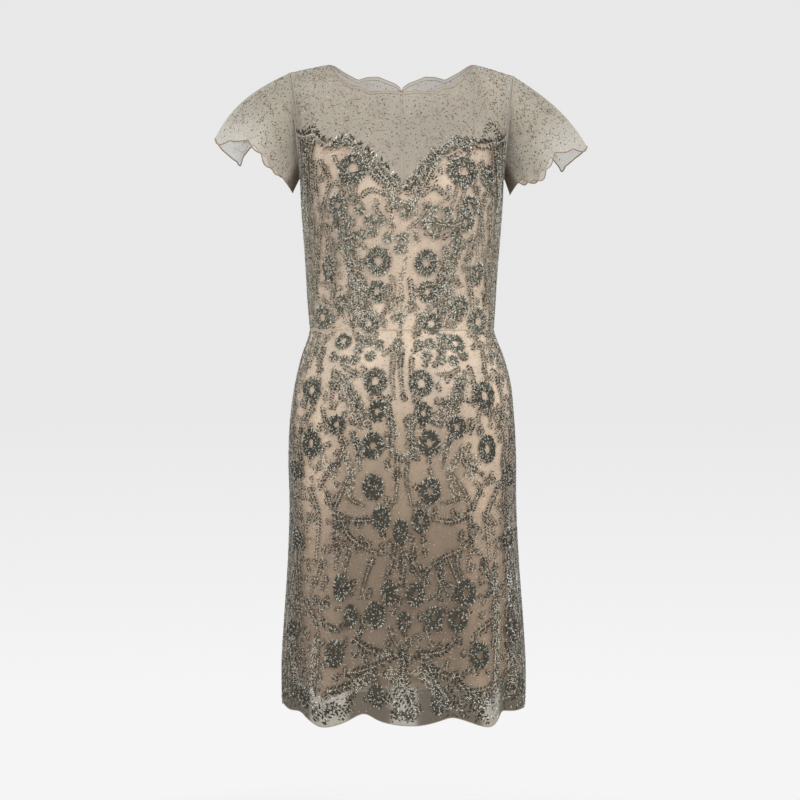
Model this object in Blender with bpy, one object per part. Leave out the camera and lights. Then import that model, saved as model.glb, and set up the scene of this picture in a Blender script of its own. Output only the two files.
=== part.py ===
"""A short evening dress, worn and hollow: beaded tulle over a nude slip, cap sleeves, back zip.

The shoulder seams' neck ends are at z = 0 and the dress hangs down from them. The front faces -Y.
A panel is a grid of columns (u, from -1 at one side seam to 1 at the other) and rows (a height).
"""

import math

import bmesh
import bpy
import numpy as np

# Cloth and seams
WALL = 0.001
SEAM_GAP = 0.0003
LINING_INSET_WAIST = 0.0016
LINING_INSET_BODICE = 0.0034
LINING_INSET_HEM = 0.0065

# The slip hangs straighter than the net at its sides: how far in at the hem, from one height to another
LINING_FALL = {"left": 0.006, "right": 0.014}
LINING_FALL_TOP = -0.580
LINING_FALL_LOW = -0.720

# Heights, measured from the shoulders
CHEST_Z = -0.166
WAIST_Z = -0.384
LINING_HEM_Z = -0.886
HEM_Z = -0.930

# Shoulders and neck
NECK_HALF = 0.105
TIP_HALF = 0.163
NECK_COLUMN = 2.0 / 3.0
TIP_DROP_LEFT = 0.012
TIP_DROP_RIGHT = 0.017
NECK_DEPTH = {"front": 0.060, "back": 0.056}
ARMHOLE_SCOOP = 0.040

# Fit of the body: how square a ring is, and the cups
RING_POWER = 0.91
CUP_X = 0.074
CUP_Z = -0.203
CUP_REACH = 0.017
CUP_WIDTH = 0.046
CUP_HEIGHT = 0.058

# Grids
BODICE_COLUMNS = 24
BODICE_ROWS = 12
SKIRT_COLUMNS = 32
LINING_COLUMNS = 24
SLIP_TOP_ROWS = 5
SLEEVE_COLUMNS = 40
SLEEVE_ROWS = 5
SKIRT_LEVELS = (-0.410, -0.440, -0.480, -0.530, -0.600, -0.670, -0.740, -0.800, -0.850, -0.892)
LINING_LEVELS = (-0.410, -0.440, -0.480, -0.530, -0.600, -0.680, -0.760, -0.830)

# Level rings of the body: height, half width, depth in front, depth behind, shift to +X
RING_NAMES = ("z", "half", "front", "back", "lean")
RINGS = (
    (-0.940, 0.1775, 0.1280, 0.1260, 0.0030),
    (-0.870, 0.1780, 0.1270, 0.1255, 0.0030),
    (-0.810, 0.1745, 0.1255, 0.1250, 0.0030),
    (-0.715, 0.1680, 0.1235, 0.1240, 0.0025),
    (-0.635, 0.1650, 0.1220, 0.1250, 0.0020),
    (-0.565, 0.1655, 0.1205, 0.1270, 0.0010),
    (-0.505, 0.1620, 0.1170, 0.1240, 0.0010),
    (-0.460, 0.1560, 0.1120, 0.1130, 0.0020),
    (-0.425, 0.1470, 0.1060, 0.0990, 0.0015),
    (-0.384, 0.1335, 0.0990, 0.0850, 0.0005),
    (-0.345, 0.1365, 0.0995, 0.0850, 0.0000),
    (-0.310, 0.1385, 0.1030, 0.0875, 0.0000),
    (-0.260, 0.1420, 0.1110, 0.0930, 0.0005),
    (-0.205, 0.1460, 0.1150, 0.0985, 0.0005),
    (-0.166, 0.1475, 0.1110, 0.1010, 0.0005),
)

# Necklines: distance from the centre, height of the edge
NECKLINES = {
    "front": (
        (0.000, -0.0475),
        (0.020, -0.0445),
        (0.045, -0.0450),
        (0.060, -0.0360),
        (0.072, -0.0340),
        (0.087, -0.0230),
        (0.098, -0.0090),
        (0.105, 0.0000),
    ),
    "back": (
        (0.000, -0.0280),
        (0.010, -0.0200),
        (0.035, -0.0110),
        (0.050, -0.0125),
        (0.064, -0.0180),
        (0.084, -0.0090),
        (0.098, -0.0010),
        (0.105, 0.0000),
    ),
}

# Top of the slip: column, height of the edge
SLIP_TOPS = {
    "front": ((0.00, -0.190), (0.14, -0.168), (0.32, -0.130), (0.50, -0.114), (0.72, -0.118), (1.00, -0.108)),
    "back": ((0.00, -0.150), (0.40, -0.146), (0.75, -0.130), (1.00, -0.108)),
}

# Flutes of the skirt: angle from the centre, width and reach at the hem, lift of the hem
FLUTE_NAMES = ("angle", "width", "reach", "lift", "slip_lift")
FLUTES = {
    "front": (
        (-74.0, 9.0, 0.0030, 0.006, 0.004),
        (-58.0, 10.0, -0.0040, 0.002, 0.002),
        (-36.0, 18.0, 0.0085, -0.011, -0.016),
        (-17.0, 10.0, -0.0085, 0.009, -0.003),
        (3.0, 16.0, 0.0075, -0.004, 0.003),
        (21.0, 10.0, -0.0075, 0.003, -0.003),
        (38.0, 15.0, 0.0095, -0.011, -0.017),
        (53.0, 9.0, -0.0060, 0.004, 0.001),
        (67.0, 13.0, 0.0070, 0.003, 0.005),
    ),
    "back": (
        (-60.0, 13.0, 0.0070, -0.002, -0.004),
        (-42.0, 10.0, -0.0060, 0.004, 0.002),
        (-22.0, 15.0, 0.0080, -0.005, -0.006),
        (0.0, 9.0, -0.0050, 0.004, 0.000),
        (19.0, 14.0, 0.0085, -0.005, -0.007),
        (38.0, 10.0, -0.0065, 0.005, 0.002),
        (58.0, 14.0, 0.0070, -0.002, -0.004),
    ),
}
FLUTE_TOP_Z = -0.600

# Sleeve hems, from the crown (0) round to the underarm (1): share, reach from centre, depth, height
SLEEVE_NAMES = ("share", "x", "y", "z")
SLEEVE_HEMS = {
    "left_front": (
        (0.00, 0.2735, 0.000, -0.108),
        (0.10, 0.2610, 0.020, -0.116),
        (0.22, 0.2400, 0.036, -0.113),
        (0.34, 0.2200, 0.047, -0.116),
        (0.46, 0.2050, 0.052, -0.130),
        (0.58, 0.1940, 0.053, -0.147),
        (0.70, 0.1830, 0.050, -0.158),
        (0.82, 0.1730, 0.043, -0.165),
        (0.92, 0.1640, 0.030, -0.174),
        (1.00, 0.1585, 0.000, -0.186),
    ),
    "right_front": (
        (0.00, 0.2720, 0.000, -0.120),
        (0.10, 0.2600, 0.020, -0.126),
        (0.22, 0.2390, 0.036, -0.127),
        (0.34, 0.2200, 0.047, -0.134),
        (0.46, 0.2100, 0.052, -0.152),
        (0.58, 0.2010, 0.054, -0.168),
        (0.70, 0.1850, 0.051, -0.173),
        (0.82, 0.1730, 0.043, -0.170),
        (0.92, 0.1640, 0.030, -0.176),
        (1.00, 0.1580, 0.000, -0.189),
    ),
    "left_back": (
        (0.00, 0.2735, 0.000, -0.108),
        (0.10, 0.2570, 0.022, -0.124),
        (0.20, 0.2390, 0.038, -0.143),
        (0.28, 0.2320, 0.045, -0.126),
        (0.35, 0.2200, 0.050, -0.113),
        (0.46, 0.2050, 0.055, -0.126),
        (0.58, 0.1940, 0.056, -0.143),
        (0.70, 0.1830, 0.052, -0.154),
        (0.82, 0.1730, 0.044, -0.162),
        (0.92, 0.1640, 0.031, -0.173),
        (1.00, 0.1585, 0.000, -0.186),
    ),
    "right_back": (
        (0.00, 0.2720, 0.000, -0.120),
        (0.10, 0.2560, 0.022, -0.130),
        (0.20, 0.2380, 0.038, -0.151),
        (0.28, 0.2310, 0.045, -0.141),
        (0.35, 0.2210, 0.050, -0.131),
        (0.46, 0.2100, 0.055, -0.148),
        (0.58, 0.2000, 0.056, -0.164),
        (0.70, 0.1850, 0.052, -0.169),
        (0.82, 0.1730, 0.044, -0.168),
        (0.92, 0.1640, 0.031, -0.175),
        (1.00, 0.1580, 0.000, -0.189),
    ),
}
SLEEVE_CLEARANCE = 0.0008
SLEEVE_CLEARANCE_UNDERARM = 0.0018
SLEEVE_CROWN = {"left": 0.0140, "right": 0.0100}
SLEEVE_LIFT = (0.41, 0.91)
SLEEVE_FULLNESS = 0.0060
SLEEVE_LOBES = 6
SLEEVE_LOBE_DEPTH = 0.0050

# Zip slider and its pull tab, whose hinge is a bar that passes under the slider's bridge
SLIDER_Z = -0.050
SLIDER_WIDTH = 0.0050
SLIDER_LENGTH = 0.0080
SLIDER_THICK = 0.0016
BRIDGE_WIDTH = 0.0014
BRIDGE_HALF_OPENING = 0.0014
BRIDGE_LEG = 0.0010
BRIDGE_HEIGHT = 0.0010
BRIDGE_THICK = 0.0008
TAB_THICK = 0.0010
TAB_BAR = 0.0010
TAB_LENGTH = 0.0240
TAB_TOP_HALF = 0.0020
TAB_DROP_HALF = 0.0030
EYE_HALF = 0.0011
EYE_LENGTH = 0.0036
TAB_POINTS = 28


def clear_scene():
    for item in list(bpy.data.objects):
        bpy.data.objects.remove(item, do_unlink=True)


def finish(name, colour, roughness, metallic=0.0):
    material = bpy.data.materials.new(name)
    material.use_nodes = True
    shader = material.node_tree.nodes["Principled BSDF"]
    shader.inputs["Base Color"].default_value = (*colour, 1.0)
    shader.inputs["Roughness"].default_value = roughness
    shader.inputs["Metallic"].default_value = metallic
    return material


def ease(share):
    """A share from 0 to 1 with soft ends."""
    share = np.clip(share, 0.0, 1.0)
    return share * share * (3.0 - 2.0 * share)


def smooth_through(knots, values, at):
    """A cubic through the values at the knots, whose slope at a knot is that of its neighbours."""
    knots = np.asarray(knots, float)
    values = np.asarray(values, float)
    slopes = np.gradient(values, knots, axis=0)
    at = np.clip(at, knots[0], knots[-1])
    index = np.clip(np.searchsorted(knots, at, side="right") - 1, 0, len(knots) - 2)
    step = (knots[index + 1] - knots[index])[..., None]
    share = (at - knots[index])[..., None] / step
    wide = values.reshape(len(knots), -1)
    slopes = slopes.reshape(len(knots), -1)
    result = (
        (2 * share**3 - 3 * share**2 + 1) * wide[index]
        + (share**3 - 2 * share**2 + share) * step * slopes[index]
        + (3 * share**2 - 2 * share**3) * wide[index + 1]
        + (share**3 - share**2) * step * slopes[index + 1]
    )
    return result.reshape(np.shape(at) + values.shape[1:])


def column(table, names, name):
    return np.array([row[names.index(name)] for row in table])


def ring_value(name, z):
    heights = column(RINGS, RING_NAMES, "z")
    return smooth_through(heights, column(RINGS, RING_NAMES, name)[:, None], z)[..., 0]


def body_point(side, u, z):
    """A point of the body's outer surface: a squared ellipse at each height, with cups in front."""
    angle = u * math.pi / 2
    across = np.sign(angle) * np.abs(np.sin(angle)) ** RING_POWER
    forward = np.clip(np.cos(angle), 0.0, 1.0) ** RING_POWER
    x = ring_value("half", z) * across
    depth = ring_value(side, z) * forward
    if side == "front":
        away = (np.abs(x) - CUP_X) / CUP_WIDTH
        height = (z - CUP_Z) / CUP_HEIGHT
        depth = depth + CUP_REACH * np.exp(-(away**2) - height**2) * ease(forward * 3.0)
    sign = -1.0 if side == "front" else 1.0
    return np.stack([x + ring_value("lean", z), sign * depth, z + 0.0 * x], axis=-1)


def tip_drop(u):
    return np.where(u < 0, TIP_DROP_LEFT, TIP_DROP_RIGHT)


def yoke_point(side, u, rise):
    """Above the chest: rise 0 is the chest ring, rise 1 the neckline and the shoulder seam."""
    sign = -1.0 if side == "front" else 1.0
    chest = body_point(side, u, np.full_like(u, CHEST_Z))
    size = np.abs(u)
    inner = np.clip(size / NECK_COLUMN, 0.0, 1.0)
    outer = np.clip((size - NECK_COLUMN) / (1.0 - NECK_COLUMN), 0.0, 1.0)
    x_top = np.sign(u) * (NECK_HALF * inner + (TIP_HALF - NECK_HALF) * outer)
    edge = np.array(NECKLINES[side])
    z_neck = np.interp(np.abs(x_top), edge[:, 0], edge[:, 1])
    z_top = np.where(size > NECK_COLUMN, -tip_drop(u) * outer, z_neck)
    y_top = sign * NECK_DEPTH[side] * np.cos(inner * math.pi / 2)
    round_share = ease((size - 0.40) / 0.35)
    up = (1 - round_share) * rise + round_share * math.sin(rise * math.pi / 2)
    back = (1 - round_share) * (1 - rise**1.15) + round_share * math.cos(rise * math.pi / 2)
    x = chest[:, 0] * (1 - rise) + x_top * rise
    y = y_top + (chest[:, 1] - y_top) * back
    z = CHEST_Z + (z_top - CHEST_Z) * up
    return np.stack([x, y, z], axis=-1)


def bodice_rows(side, u, heights):
    """Rows of the bodice, smooth from the waist through the chest to the neckline.

    Below the chest a row's height is its z; above it, the share of the way to the top edge.
    """
    levels = [z for z in column(RINGS, RING_NAMES, "z") if WAIST_Z <= z < CHEST_Z]
    rises = (0.0, 0.25, 0.5, 0.75, 0.9, 1.0)
    knots = levels + [CHEST_Z * (1 - rise) for rise in rises]
    rings = [body_point(side, u, np.full_like(u, z)) for z in levels]
    yokes = [yoke_point(side, u, rise) for rise in rises]
    rows = smooth_through(knots, np.array(rings + yokes), np.asarray(heights))
    rise = np.clip(1.0 - np.asarray(heights)[:, None] / CHEST_Z, 0.0, 1.0)
    scoop = ARMHOLE_SCOOP * np.sin(rise * math.pi) ** 1.3 * ease((np.abs(u) - 0.55) / 0.45)
    rows[..., 1] += scoop * (-1.0 if side == "front" else 1.0)
    return rows


def flute_sum(name, side, u):
    """A quantity of the flutes round the skirt: a smooth bump at each flute, none at the side seams."""
    angle = np.degrees(u * math.pi / 2)
    total = 0.0 * angle
    for centre, width, size in zip(
        column(FLUTES[side], FLUTE_NAMES, "angle"),
        column(FLUTES[side], FLUTE_NAMES, "width"),
        column(FLUTES[side], FLUTE_NAMES, name),
    ):
        total = total + size * np.exp(-(((angle - centre) / (0.6 * width)) ** 2))
    return total * ease((1.0 - np.abs(u)) * 10.0)


def skirt_rows(side, u, levels, hem):
    """Rows of the skirt from a wavy hem up to the waist seam. Its flutes grow down to the hem."""
    rows = [body_point(side, u, hem)]
    for z in reversed((WAIST_Z - SEAM_GAP / 2, *levels)):
        rows.append(body_point(side, u, np.full_like(u, z)))
    rows = np.array(rows)
    growth = np.clip((FLUTE_TOP_Z - rows[..., 2]) / (FLUTE_TOP_Z - HEM_Z), 0.0, 1.2) ** 1.6
    push = flute_sum("reach", side, u) * growth
    angle = u * math.pi / 2
    rows[..., 0] += push * np.sin(angle)
    rows[..., 1] += push * np.cos(angle) * (-1.0 if side == "front" else 1.0)
    return rows


def outward(points, closed=False):
    """Unit normals of a grid of points, taken from its rows and columns."""
    wide = np.concatenate([points[:, -1:], points, points[:, :1]], axis=1) if closed else points
    along = np.gradient(wide, axis=1)
    up = np.gradient(wide, axis=0)
    normal = np.cross(along, up)
    normal = normal[:, 1:-1] if closed else normal
    return normal / np.linalg.norm(normal, axis=-1, keepdims=True)


def panel_normals(side, u, points, shoulders):
    """Normals out of the body. Along a seam they stay in the seam's plane, so that walls meet."""
    normal = outward(points) * (1.0 if side == "front" else -1.0)
    normal[:, np.abs(u) == 1.0, 1] = 0.0
    if side == "back":
        normal[:, u == 0.0, 0] = 0.0
    if shoulders:
        normal[-1, np.abs(u) > NECK_COLUMN - 0.001, 1] = 0.0
    return normal / np.linalg.norm(normal, axis=-1, keepdims=True)


def wall(name, points, normals, material, closed=False):
    """A cloth wall: the grid is its outer face, a copy moved in is its inner face, with a rim."""
    rows, columns = points.shape[:2]
    work = bmesh.new()
    layers = [
        [[work.verts.new(point) for point in row] for row in layer]
        for layer in (points, points - normals * WALL)
    ]
    last = columns if closed else columns - 1
    for layer, corners in enumerate(layers):
        for row in range(rows - 1):
            for place in range(last):
                beside = (place + 1) % columns
                face = [
                    corners[row][place],
                    corners[row][beside],
                    corners[row + 1][beside],
                    corners[row + 1][place],
                ]
                work.faces.new(face[::-1] if layer else face)
    outer, inner = layers
    rims = [[(0, place) for place in range(columns)], [(rows - 1, place) for place in range(columns)]]
    if closed:
        rims = [rim + rim[:1] for rim in rims]
    else:
        rims += [[(row, 0) for row in range(rows)], [(row, columns - 1) for row in range(rows)]]
    for rim in rims:
        for (row, place), (next_row, next_place) in zip(rim, rim[1:]):
            work.faces.new(
                (
                    outer[row][place],
                    outer[next_row][next_place],
                    inner[next_row][next_place],
                    inner[row][place],
                )
            )
    bmesh.ops.recalc_face_normals(work, faces=work.faces)
    mesh = bpy.data.meshes.new(name)
    work.to_mesh(mesh)
    work.free()
    mesh.shade_smooth()
    mesh.set_sharp_from_angle(angle=math.radians(50.0))
    mesh.materials.append(material)
    cloth = bpy.data.objects.new(name, mesh)
    bpy.context.scene.collection.objects.link(cloth)


def halves(side, columns):
    """The panels of one side: a whole front, or a left and a right half of the back."""
    if side == "front":
        return {"": np.linspace(-1.0, 1.0, columns + 1)}
    half = columns // 2 + 1
    return {"_left": np.linspace(-1.0, 0.0, half), "_right": np.linspace(0.0, 1.0, half)}


def part_seams(side, which, points):
    """Moves a panel off the seams that it shares: side and shoulder seams, and the centre back."""
    points = points.copy()
    points[..., 1] += SEAM_GAP / 2 * (-1.0 if side == "front" else 1.0)
    if which:
        points[..., 0] += SEAM_GAP / 2 * (-1.0 if which == "_left" else 1.0)
    return points


def make_bodice(side, overlay, slip):
    heights = np.linspace(WAIST_Z + SEAM_GAP / 2, 0.0, BODICE_ROWS + 1)
    for which, u in halves(side, BODICE_COLUMNS).items():
        points = bodice_rows(side, u, heights)
        normals = panel_normals(side, u, points, shoulders=True)
        wall(f"bodice_{side}{which}", part_seams(side, which, points), normals, overlay)
        inside = slip_bodice(side, u, points)
        normals = panel_normals(side, u, inside, shoulders=False)
        wall(f"slip_bodice_{side}{which}", part_seams(side, which, inside), normals, slip)


def slip_bodice(side, u, points):
    """The slip's bodice: the overlay's rows cut off at the slip's top edge and moved in."""
    top = np.array(SLIP_TOPS[side])
    edge = np.interp(np.abs(u), top[:, 0], top[:, 1])
    kept = int(np.sum(points[:, len(u) // 2, 2] < top[:, 1].min() - 0.02))
    rows = [points[row] for row in range(kept)]
    for step in range(1, SLIP_TOP_ROWS + 1):
        share = step / SLIP_TOP_ROWS
        target = rows[kept - 1][:, 2] * (1 - share) + edge * share
        row = np.empty_like(rows[0])
        for place in range(len(u)):
            heights = points[:, place, 2]
            for axis in range(3):
                row[place, axis] = np.interp(target[place], heights, points[:, place, axis])
        rows.append(row)
    rows = np.array(rows)
    share = ease(np.arange(len(rows)) / 3.0)[:, None, None]
    inset = LINING_INSET_WAIST + (LINING_INSET_BODICE - LINING_INSET_WAIST) * share
    return rows - panel_normals(side, u, rows, shoulders=False) * inset


def lining_fall(u, z):
    """How far the slip's sides move towards the middle, along X: nothing above, most at the side seams."""
    most = np.where(u < 0, -LINING_FALL["left"], LINING_FALL["right"])
    down = ease((LINING_FALL_TOP - z) / (LINING_FALL_TOP - LINING_FALL_LOW))
    return most * ease((np.abs(u) - 0.5) / 0.5) * down


def make_skirt(side, overlay, slip):
    for which, u in halves(side, SKIRT_COLUMNS).items():
        hem = HEM_Z + flute_sum("lift", side, u)
        points = skirt_rows(side, u, SKIRT_LEVELS, hem)
        normals = panel_normals(side, u, points, shoulders=False)
        wall(f"skirt_{side}{which}", part_seams(side, which, points), normals, overlay)
    for which, u in halves(side, LINING_COLUMNS).items():
        hem = LINING_HEM_Z + flute_sum("slip_lift", side, u)
        points = skirt_rows(side, u, LINING_LEVELS, hem)
        down = ease((WAIST_Z - points[..., 2:]) / (WAIST_Z - LINING_HEM_Z))
        inset = LINING_INSET_WAIST + (LINING_INSET_HEM - LINING_INSET_WAIST) * down
        inside = points - panel_normals(side, u, points, shoulders=False) * inset
        inside[..., 0] -= lining_fall(u, points[..., 2])
        normals = panel_normals(side, u, inside, shoulders=False)
        wall(f"slip_skirt_{side}{which}", part_seams(side, which, inside), normals, slip)


def sleeve_hem(hand, side, share):
    rows = SLEEVE_HEMS[f"{hand}_{side}"]
    knots = column(rows, SLEEVE_NAMES, "share")
    points = np.stack([column(rows, SLEEVE_NAMES, axis) for axis in "xyz"], axis=-1)
    return smooth_through(knots, points, share)


def armhole(hand, side, share):
    """The armhole edge of one panel: share 0 is the shoulder tip, share 1 the underarm."""
    u = np.array([-1.0 if hand == "left" else 1.0])
    heights = CHEST_Z * np.asarray(share)
    return bodice_rows(side, u, heights)[:, 0]


def sleeve_rows(hand):
    """Rows of a cap sleeve from the armhole seam to its scalloped hem, round the whole armhole."""
    half = SLEEVE_COLUMNS // 2
    share = np.linspace(0.0, 1.0, half + 1)
    out = -1.0 if hand == "left" else 1.0
    starts, ends, shares = [], [], []
    for side, order in (("front", slice(None)), ("back", slice(-2, 0, -1))):
        start = armhole(hand, side, share)
        end = sleeve_hem(hand, side, share)
        end[:, 0] *= out
        end[:, 1] *= -1.0 if side == "front" else 1.0
        start[:, 1] += SEAM_GAP / 2 * (-1.0 if side == "front" else 1.0) * np.sin(share * math.pi)
        room = SLEEVE_CLEARANCE_UNDERARM - SLEEVE_CLEARANCE
        start[:, 0] += out * (SLEEVE_CLEARANCE + room * ease(share * 2.0))
        starts.append(start[order])
        ends.append(end[order])
        shares.append(share[order])
    start = np.concatenate(starts)
    end = np.concatenate(ends)
    share = np.concatenate(shares)[:, None]
    ruling = end - start
    lobes = SLEEVE_LOBE_DEPTH * (np.abs(np.sin(share * math.pi * SLEEVE_LOBES)) - 0.5)
    length = np.linalg.norm(ruling, axis=1, keepdims=True)
    end = end + ruling / length * lobes * np.clip(length / 0.08, 0.0, 1.0)
    lift = np.array([SLEEVE_LIFT[0] * out, 0.0, SLEEVE_LIFT[1]])
    crown = SLEEVE_CROWN[hand] * (1 - share) ** 1.2
    spread = np.zeros_like(start)
    spread[:, 1] = np.sign(end[:, 1]) * SLEEVE_FULLNESS * np.sin(share[:, 0] * math.pi)
    rows = []
    for step in np.linspace(0.0, 1.0, SLEEVE_ROWS + 1):
        swell = 4 * step * (1 - step) * (0.7 + 0.6 * step)
        rows.append(start + (end - start) * step + (lift * crown + spread) * swell)
    return np.array(rows)


def make_sleeve(hand, overlay):
    points = sleeve_rows(hand)
    normals = outward(points, closed=True) * (1.0 if hand == "left" else -1.0)
    wall(f"sleeve_{hand}", points, normals, overlay, closed=True)


def box_points(work, low, high):
    made = bmesh.ops.create_cube(work, size=1.0)["verts"]
    for vert in made:
        for axis in range(3):
            vert.co[axis] = low[axis] if vert.co[axis] < 0 else high[axis]
    return made


def placed(name, work, material, place, tilt):
    mesh = bpy.data.meshes.new(name)
    bmesh.ops.recalc_face_normals(work, faces=work.faces)
    work.to_mesh(mesh)
    work.free()
    mesh.materials.append(material)
    thing = bpy.data.objects.new(name, mesh)
    bpy.context.scene.collection.objects.link(thing)
    thing.location = place
    thing.rotation_euler = (tilt, 0.0, 0.0)
    return thing


def hinge_place():
    """The pull tab's axis and the back's slope there: out of the cloth by the slider's thickness."""
    share = 1.0 - SLIDER_Z / CHEST_Z
    heights = np.array([share - 0.03, share, share + 0.03]) * -CHEST_Z + CHEST_Z
    below, here, above = bodice_rows("back", np.array([0.0]), heights)[:, 0]
    slope = above - below
    tilt = math.atan2(-slope[1], slope[2])
    normal = np.array([0.0, math.cos(tilt), math.sin(tilt)])
    reach = SEAM_GAP * 2 + SLIDER_THICK + BRIDGE_HEIGHT
    return here + normal * reach, tilt


def make_slider(metal):
    place, tilt = hinge_place()
    work = bmesh.new()
    half = SLIDER_WIDTH / 2
    floor = -BRIDGE_HEIGHT
    box_points(work, (-half, floor - SLIDER_THICK, -SLIDER_LENGTH / 2), (half, floor, SLIDER_LENGTH / 2))
    bmesh.ops.bevel(
        work, geom=work.edges[:], offset=0.0004, segments=2, affect="EDGES", profile=0.5
    )
    base = placed("zip_slider", work, metal, place, tilt)
    bridge = bmesh.new()
    inner = BRIDGE_HALF_OPENING
    outer = inner + BRIDGE_LEG
    top = BRIDGE_HEIGHT + BRIDGE_THICK
    root = floor - SLIDER_THICK / 2
    outline = (
        (root, -outer),
        (top - 0.0005, -outer),
        (top, -outer + 0.0007),
        (top, outer - 0.0007),
        (top - 0.0005, outer),
        (root, outer),
        (root, inner),
        (BRIDGE_HEIGHT, inner),
        (BRIDGE_HEIGHT, -inner),
        (root, -inner),
    )
    loop = [bridge.verts.new((-BRIDGE_WIDTH / 2, y, z)) for y, z in outline]
    face = bridge.faces.new(loop)
    grown = bmesh.ops.extrude_face_region(bridge, geom=[face])["geom"]
    moved = [item for item in grown if isinstance(item, bmesh.types.BMVert)]
    bmesh.ops.translate(bridge, verts=moved, vec=(BRIDGE_WIDTH, 0.0, 0.0))
    arch = placed("zip_bridge", bridge, metal, place, tilt)
    arch.hide_render = True
    arch.display_type = "WIRE"
    union = base.modifiers.new("Bridge", "BOOLEAN")
    union.operation = "UNION"
    union.object = arch


def tab_outline():
    """The tab's outline: a narrow top that widens to a round drop, as points round a closed loop."""
    points = []
    for step in range(TAB_POINTS):
        angle = 2 * math.pi * step / TAB_POINTS
        down = (1 - math.cos(angle)) / 2
        width = TAB_TOP_HALF + (TAB_DROP_HALF - TAB_TOP_HALF) * ease(down * 1.4)
        side = math.sin(angle)
        x = width * math.copysign(abs(side) ** 0.55, side)
        z = TAB_BAR / 2 - down * (TAB_LENGTH + TAB_BAR / 2)
        points.append((x, z))
    return points


def eye_outline():
    points = []
    for step in range(TAB_POINTS):
        angle = 2 * math.pi * step / TAB_POINTS
        across = math.sin(angle)
        along = math.cos(angle)
        x = EYE_HALF * math.copysign(abs(across) ** 0.35, across)
        z = EYE_LENGTH / 2 * math.copysign(abs(along) ** 0.35, along)
        points.append((x, z - EYE_LENGTH / 2 - TAB_BAR / 2))
    return points


def make_tab(metal):
    """A flat drop with an eye; the bar above the eye is the hinge."""
    place, tilt = hinge_place()
    work = bmesh.new()
    loops = []
    for y in (-TAB_THICK / 2, TAB_THICK / 2):
        for outline in (tab_outline(), eye_outline()):
            loops.append([work.verts.new((x, y, z)) for x, z in outline])
    rim_in, eye_in, rim_out, eye_out = loops
    for step in range(TAB_POINTS):
        after = (step + 1) % TAB_POINTS
        for first, second in (
            (rim_in, eye_in),
            (eye_out, rim_out),
            (rim_out, rim_in),
            (eye_in, eye_out),
        ):
            work.faces.new((first[step], first[after], second[after], second[step]))
    placed("zip_pull", work, metal, place, tilt)


def build():
    clear_scene()
    tulle = finish("beaded tulle", (0.42, 0.38, 0.31), 0.55)
    sheer = finish("sheer tulle", (0.56, 0.54, 0.47), 0.60)
    nude = finish("nude lining", (0.78, 0.60, 0.47), 0.45)
    metal = finish("dull brass", (0.50, 0.42, 0.30), 0.30, 1.0)
    for side in ("front", "back"):
        make_bodice(side, tulle, nude)
        make_skirt(side, tulle, nude)
    for hand in ("left", "right"):
        make_sleeve(hand, sheer)
    make_slider(metal)
    make_tab(metal)


build()
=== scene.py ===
import math

import bpy
import numpy as np
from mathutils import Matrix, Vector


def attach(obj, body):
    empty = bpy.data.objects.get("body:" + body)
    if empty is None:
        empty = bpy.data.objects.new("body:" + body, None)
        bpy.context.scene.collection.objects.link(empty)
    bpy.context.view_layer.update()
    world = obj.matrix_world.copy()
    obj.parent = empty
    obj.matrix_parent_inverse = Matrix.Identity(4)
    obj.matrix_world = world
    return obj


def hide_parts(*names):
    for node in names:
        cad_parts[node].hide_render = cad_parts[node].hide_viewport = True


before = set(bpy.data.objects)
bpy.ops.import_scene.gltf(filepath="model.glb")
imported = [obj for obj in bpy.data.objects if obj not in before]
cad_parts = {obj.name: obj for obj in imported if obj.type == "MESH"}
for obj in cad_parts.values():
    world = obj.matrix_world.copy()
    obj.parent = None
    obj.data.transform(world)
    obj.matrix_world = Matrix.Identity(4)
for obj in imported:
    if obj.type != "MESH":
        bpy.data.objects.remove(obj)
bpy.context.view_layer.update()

# The dress hangs from its shoulders at z = 0 and its front faces -Y.
# A place on the net is a pair (u, h): u runs from -1 at the left side seam to 1 at the right one, and
# h is the height. Above the chest, h is the share of the way from the chest to the top edge.

# Heights of the chest, the waist seam and both hems
CHEST_Z = -0.166
WAIST_Z = -0.384
SLIP_HEM_Z = -0.886
HEM_Z = -0.930
HEM_FREE_Z = -0.892

# Shoulders, neck and armholes
NECK_HALF = 0.105
TIP_HALF = 0.163
NECK_COLUMN = 2.0 / 3.0
TIP_DROP = {"left": 0.012, "right": 0.017}
NECK_DEPTH = {"front": 0.060, "back": 0.056}
ARMHOLE_SCOOP = 0.040

# How square the body's rings are, and the bust cups
RING_POWER = 0.91
CUP_X = 0.074
CUP_Z = -0.203
CUP_REACH = 0.017
CUP_WIDTH = 0.046
CUP_HEIGHT = 0.058

# Cloth
NET_THICK = 0.0004
SATIN_THICK = 0.0005
SEAM_GAP = 0.0003
SLIP_INSET_WAIST = 0.0016
SLIP_INSET_BUST = 0.0034
SLIP_INSET_HEM = 0.0065

# The slip hangs straighter than the net at its sides: how far in at its hem, and the heights between which it
# moves in
SLIP_FALL = {"left": 0.006, "right": 0.014}
SLIP_FALL_TOP = -0.580
SLIP_FALL_LOW = -0.720

# Grids
NET_COLUMNS = 136
SKIRT_ROWS = 84
BODICE_ROWS = 64
SLIP_COLUMNS = 64
SLIP_ROWS = {"bodice": 45, "skirt": 57}
SLEEVE_COLUMNS = 144
SLEEVE_ROWS = 22

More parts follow.
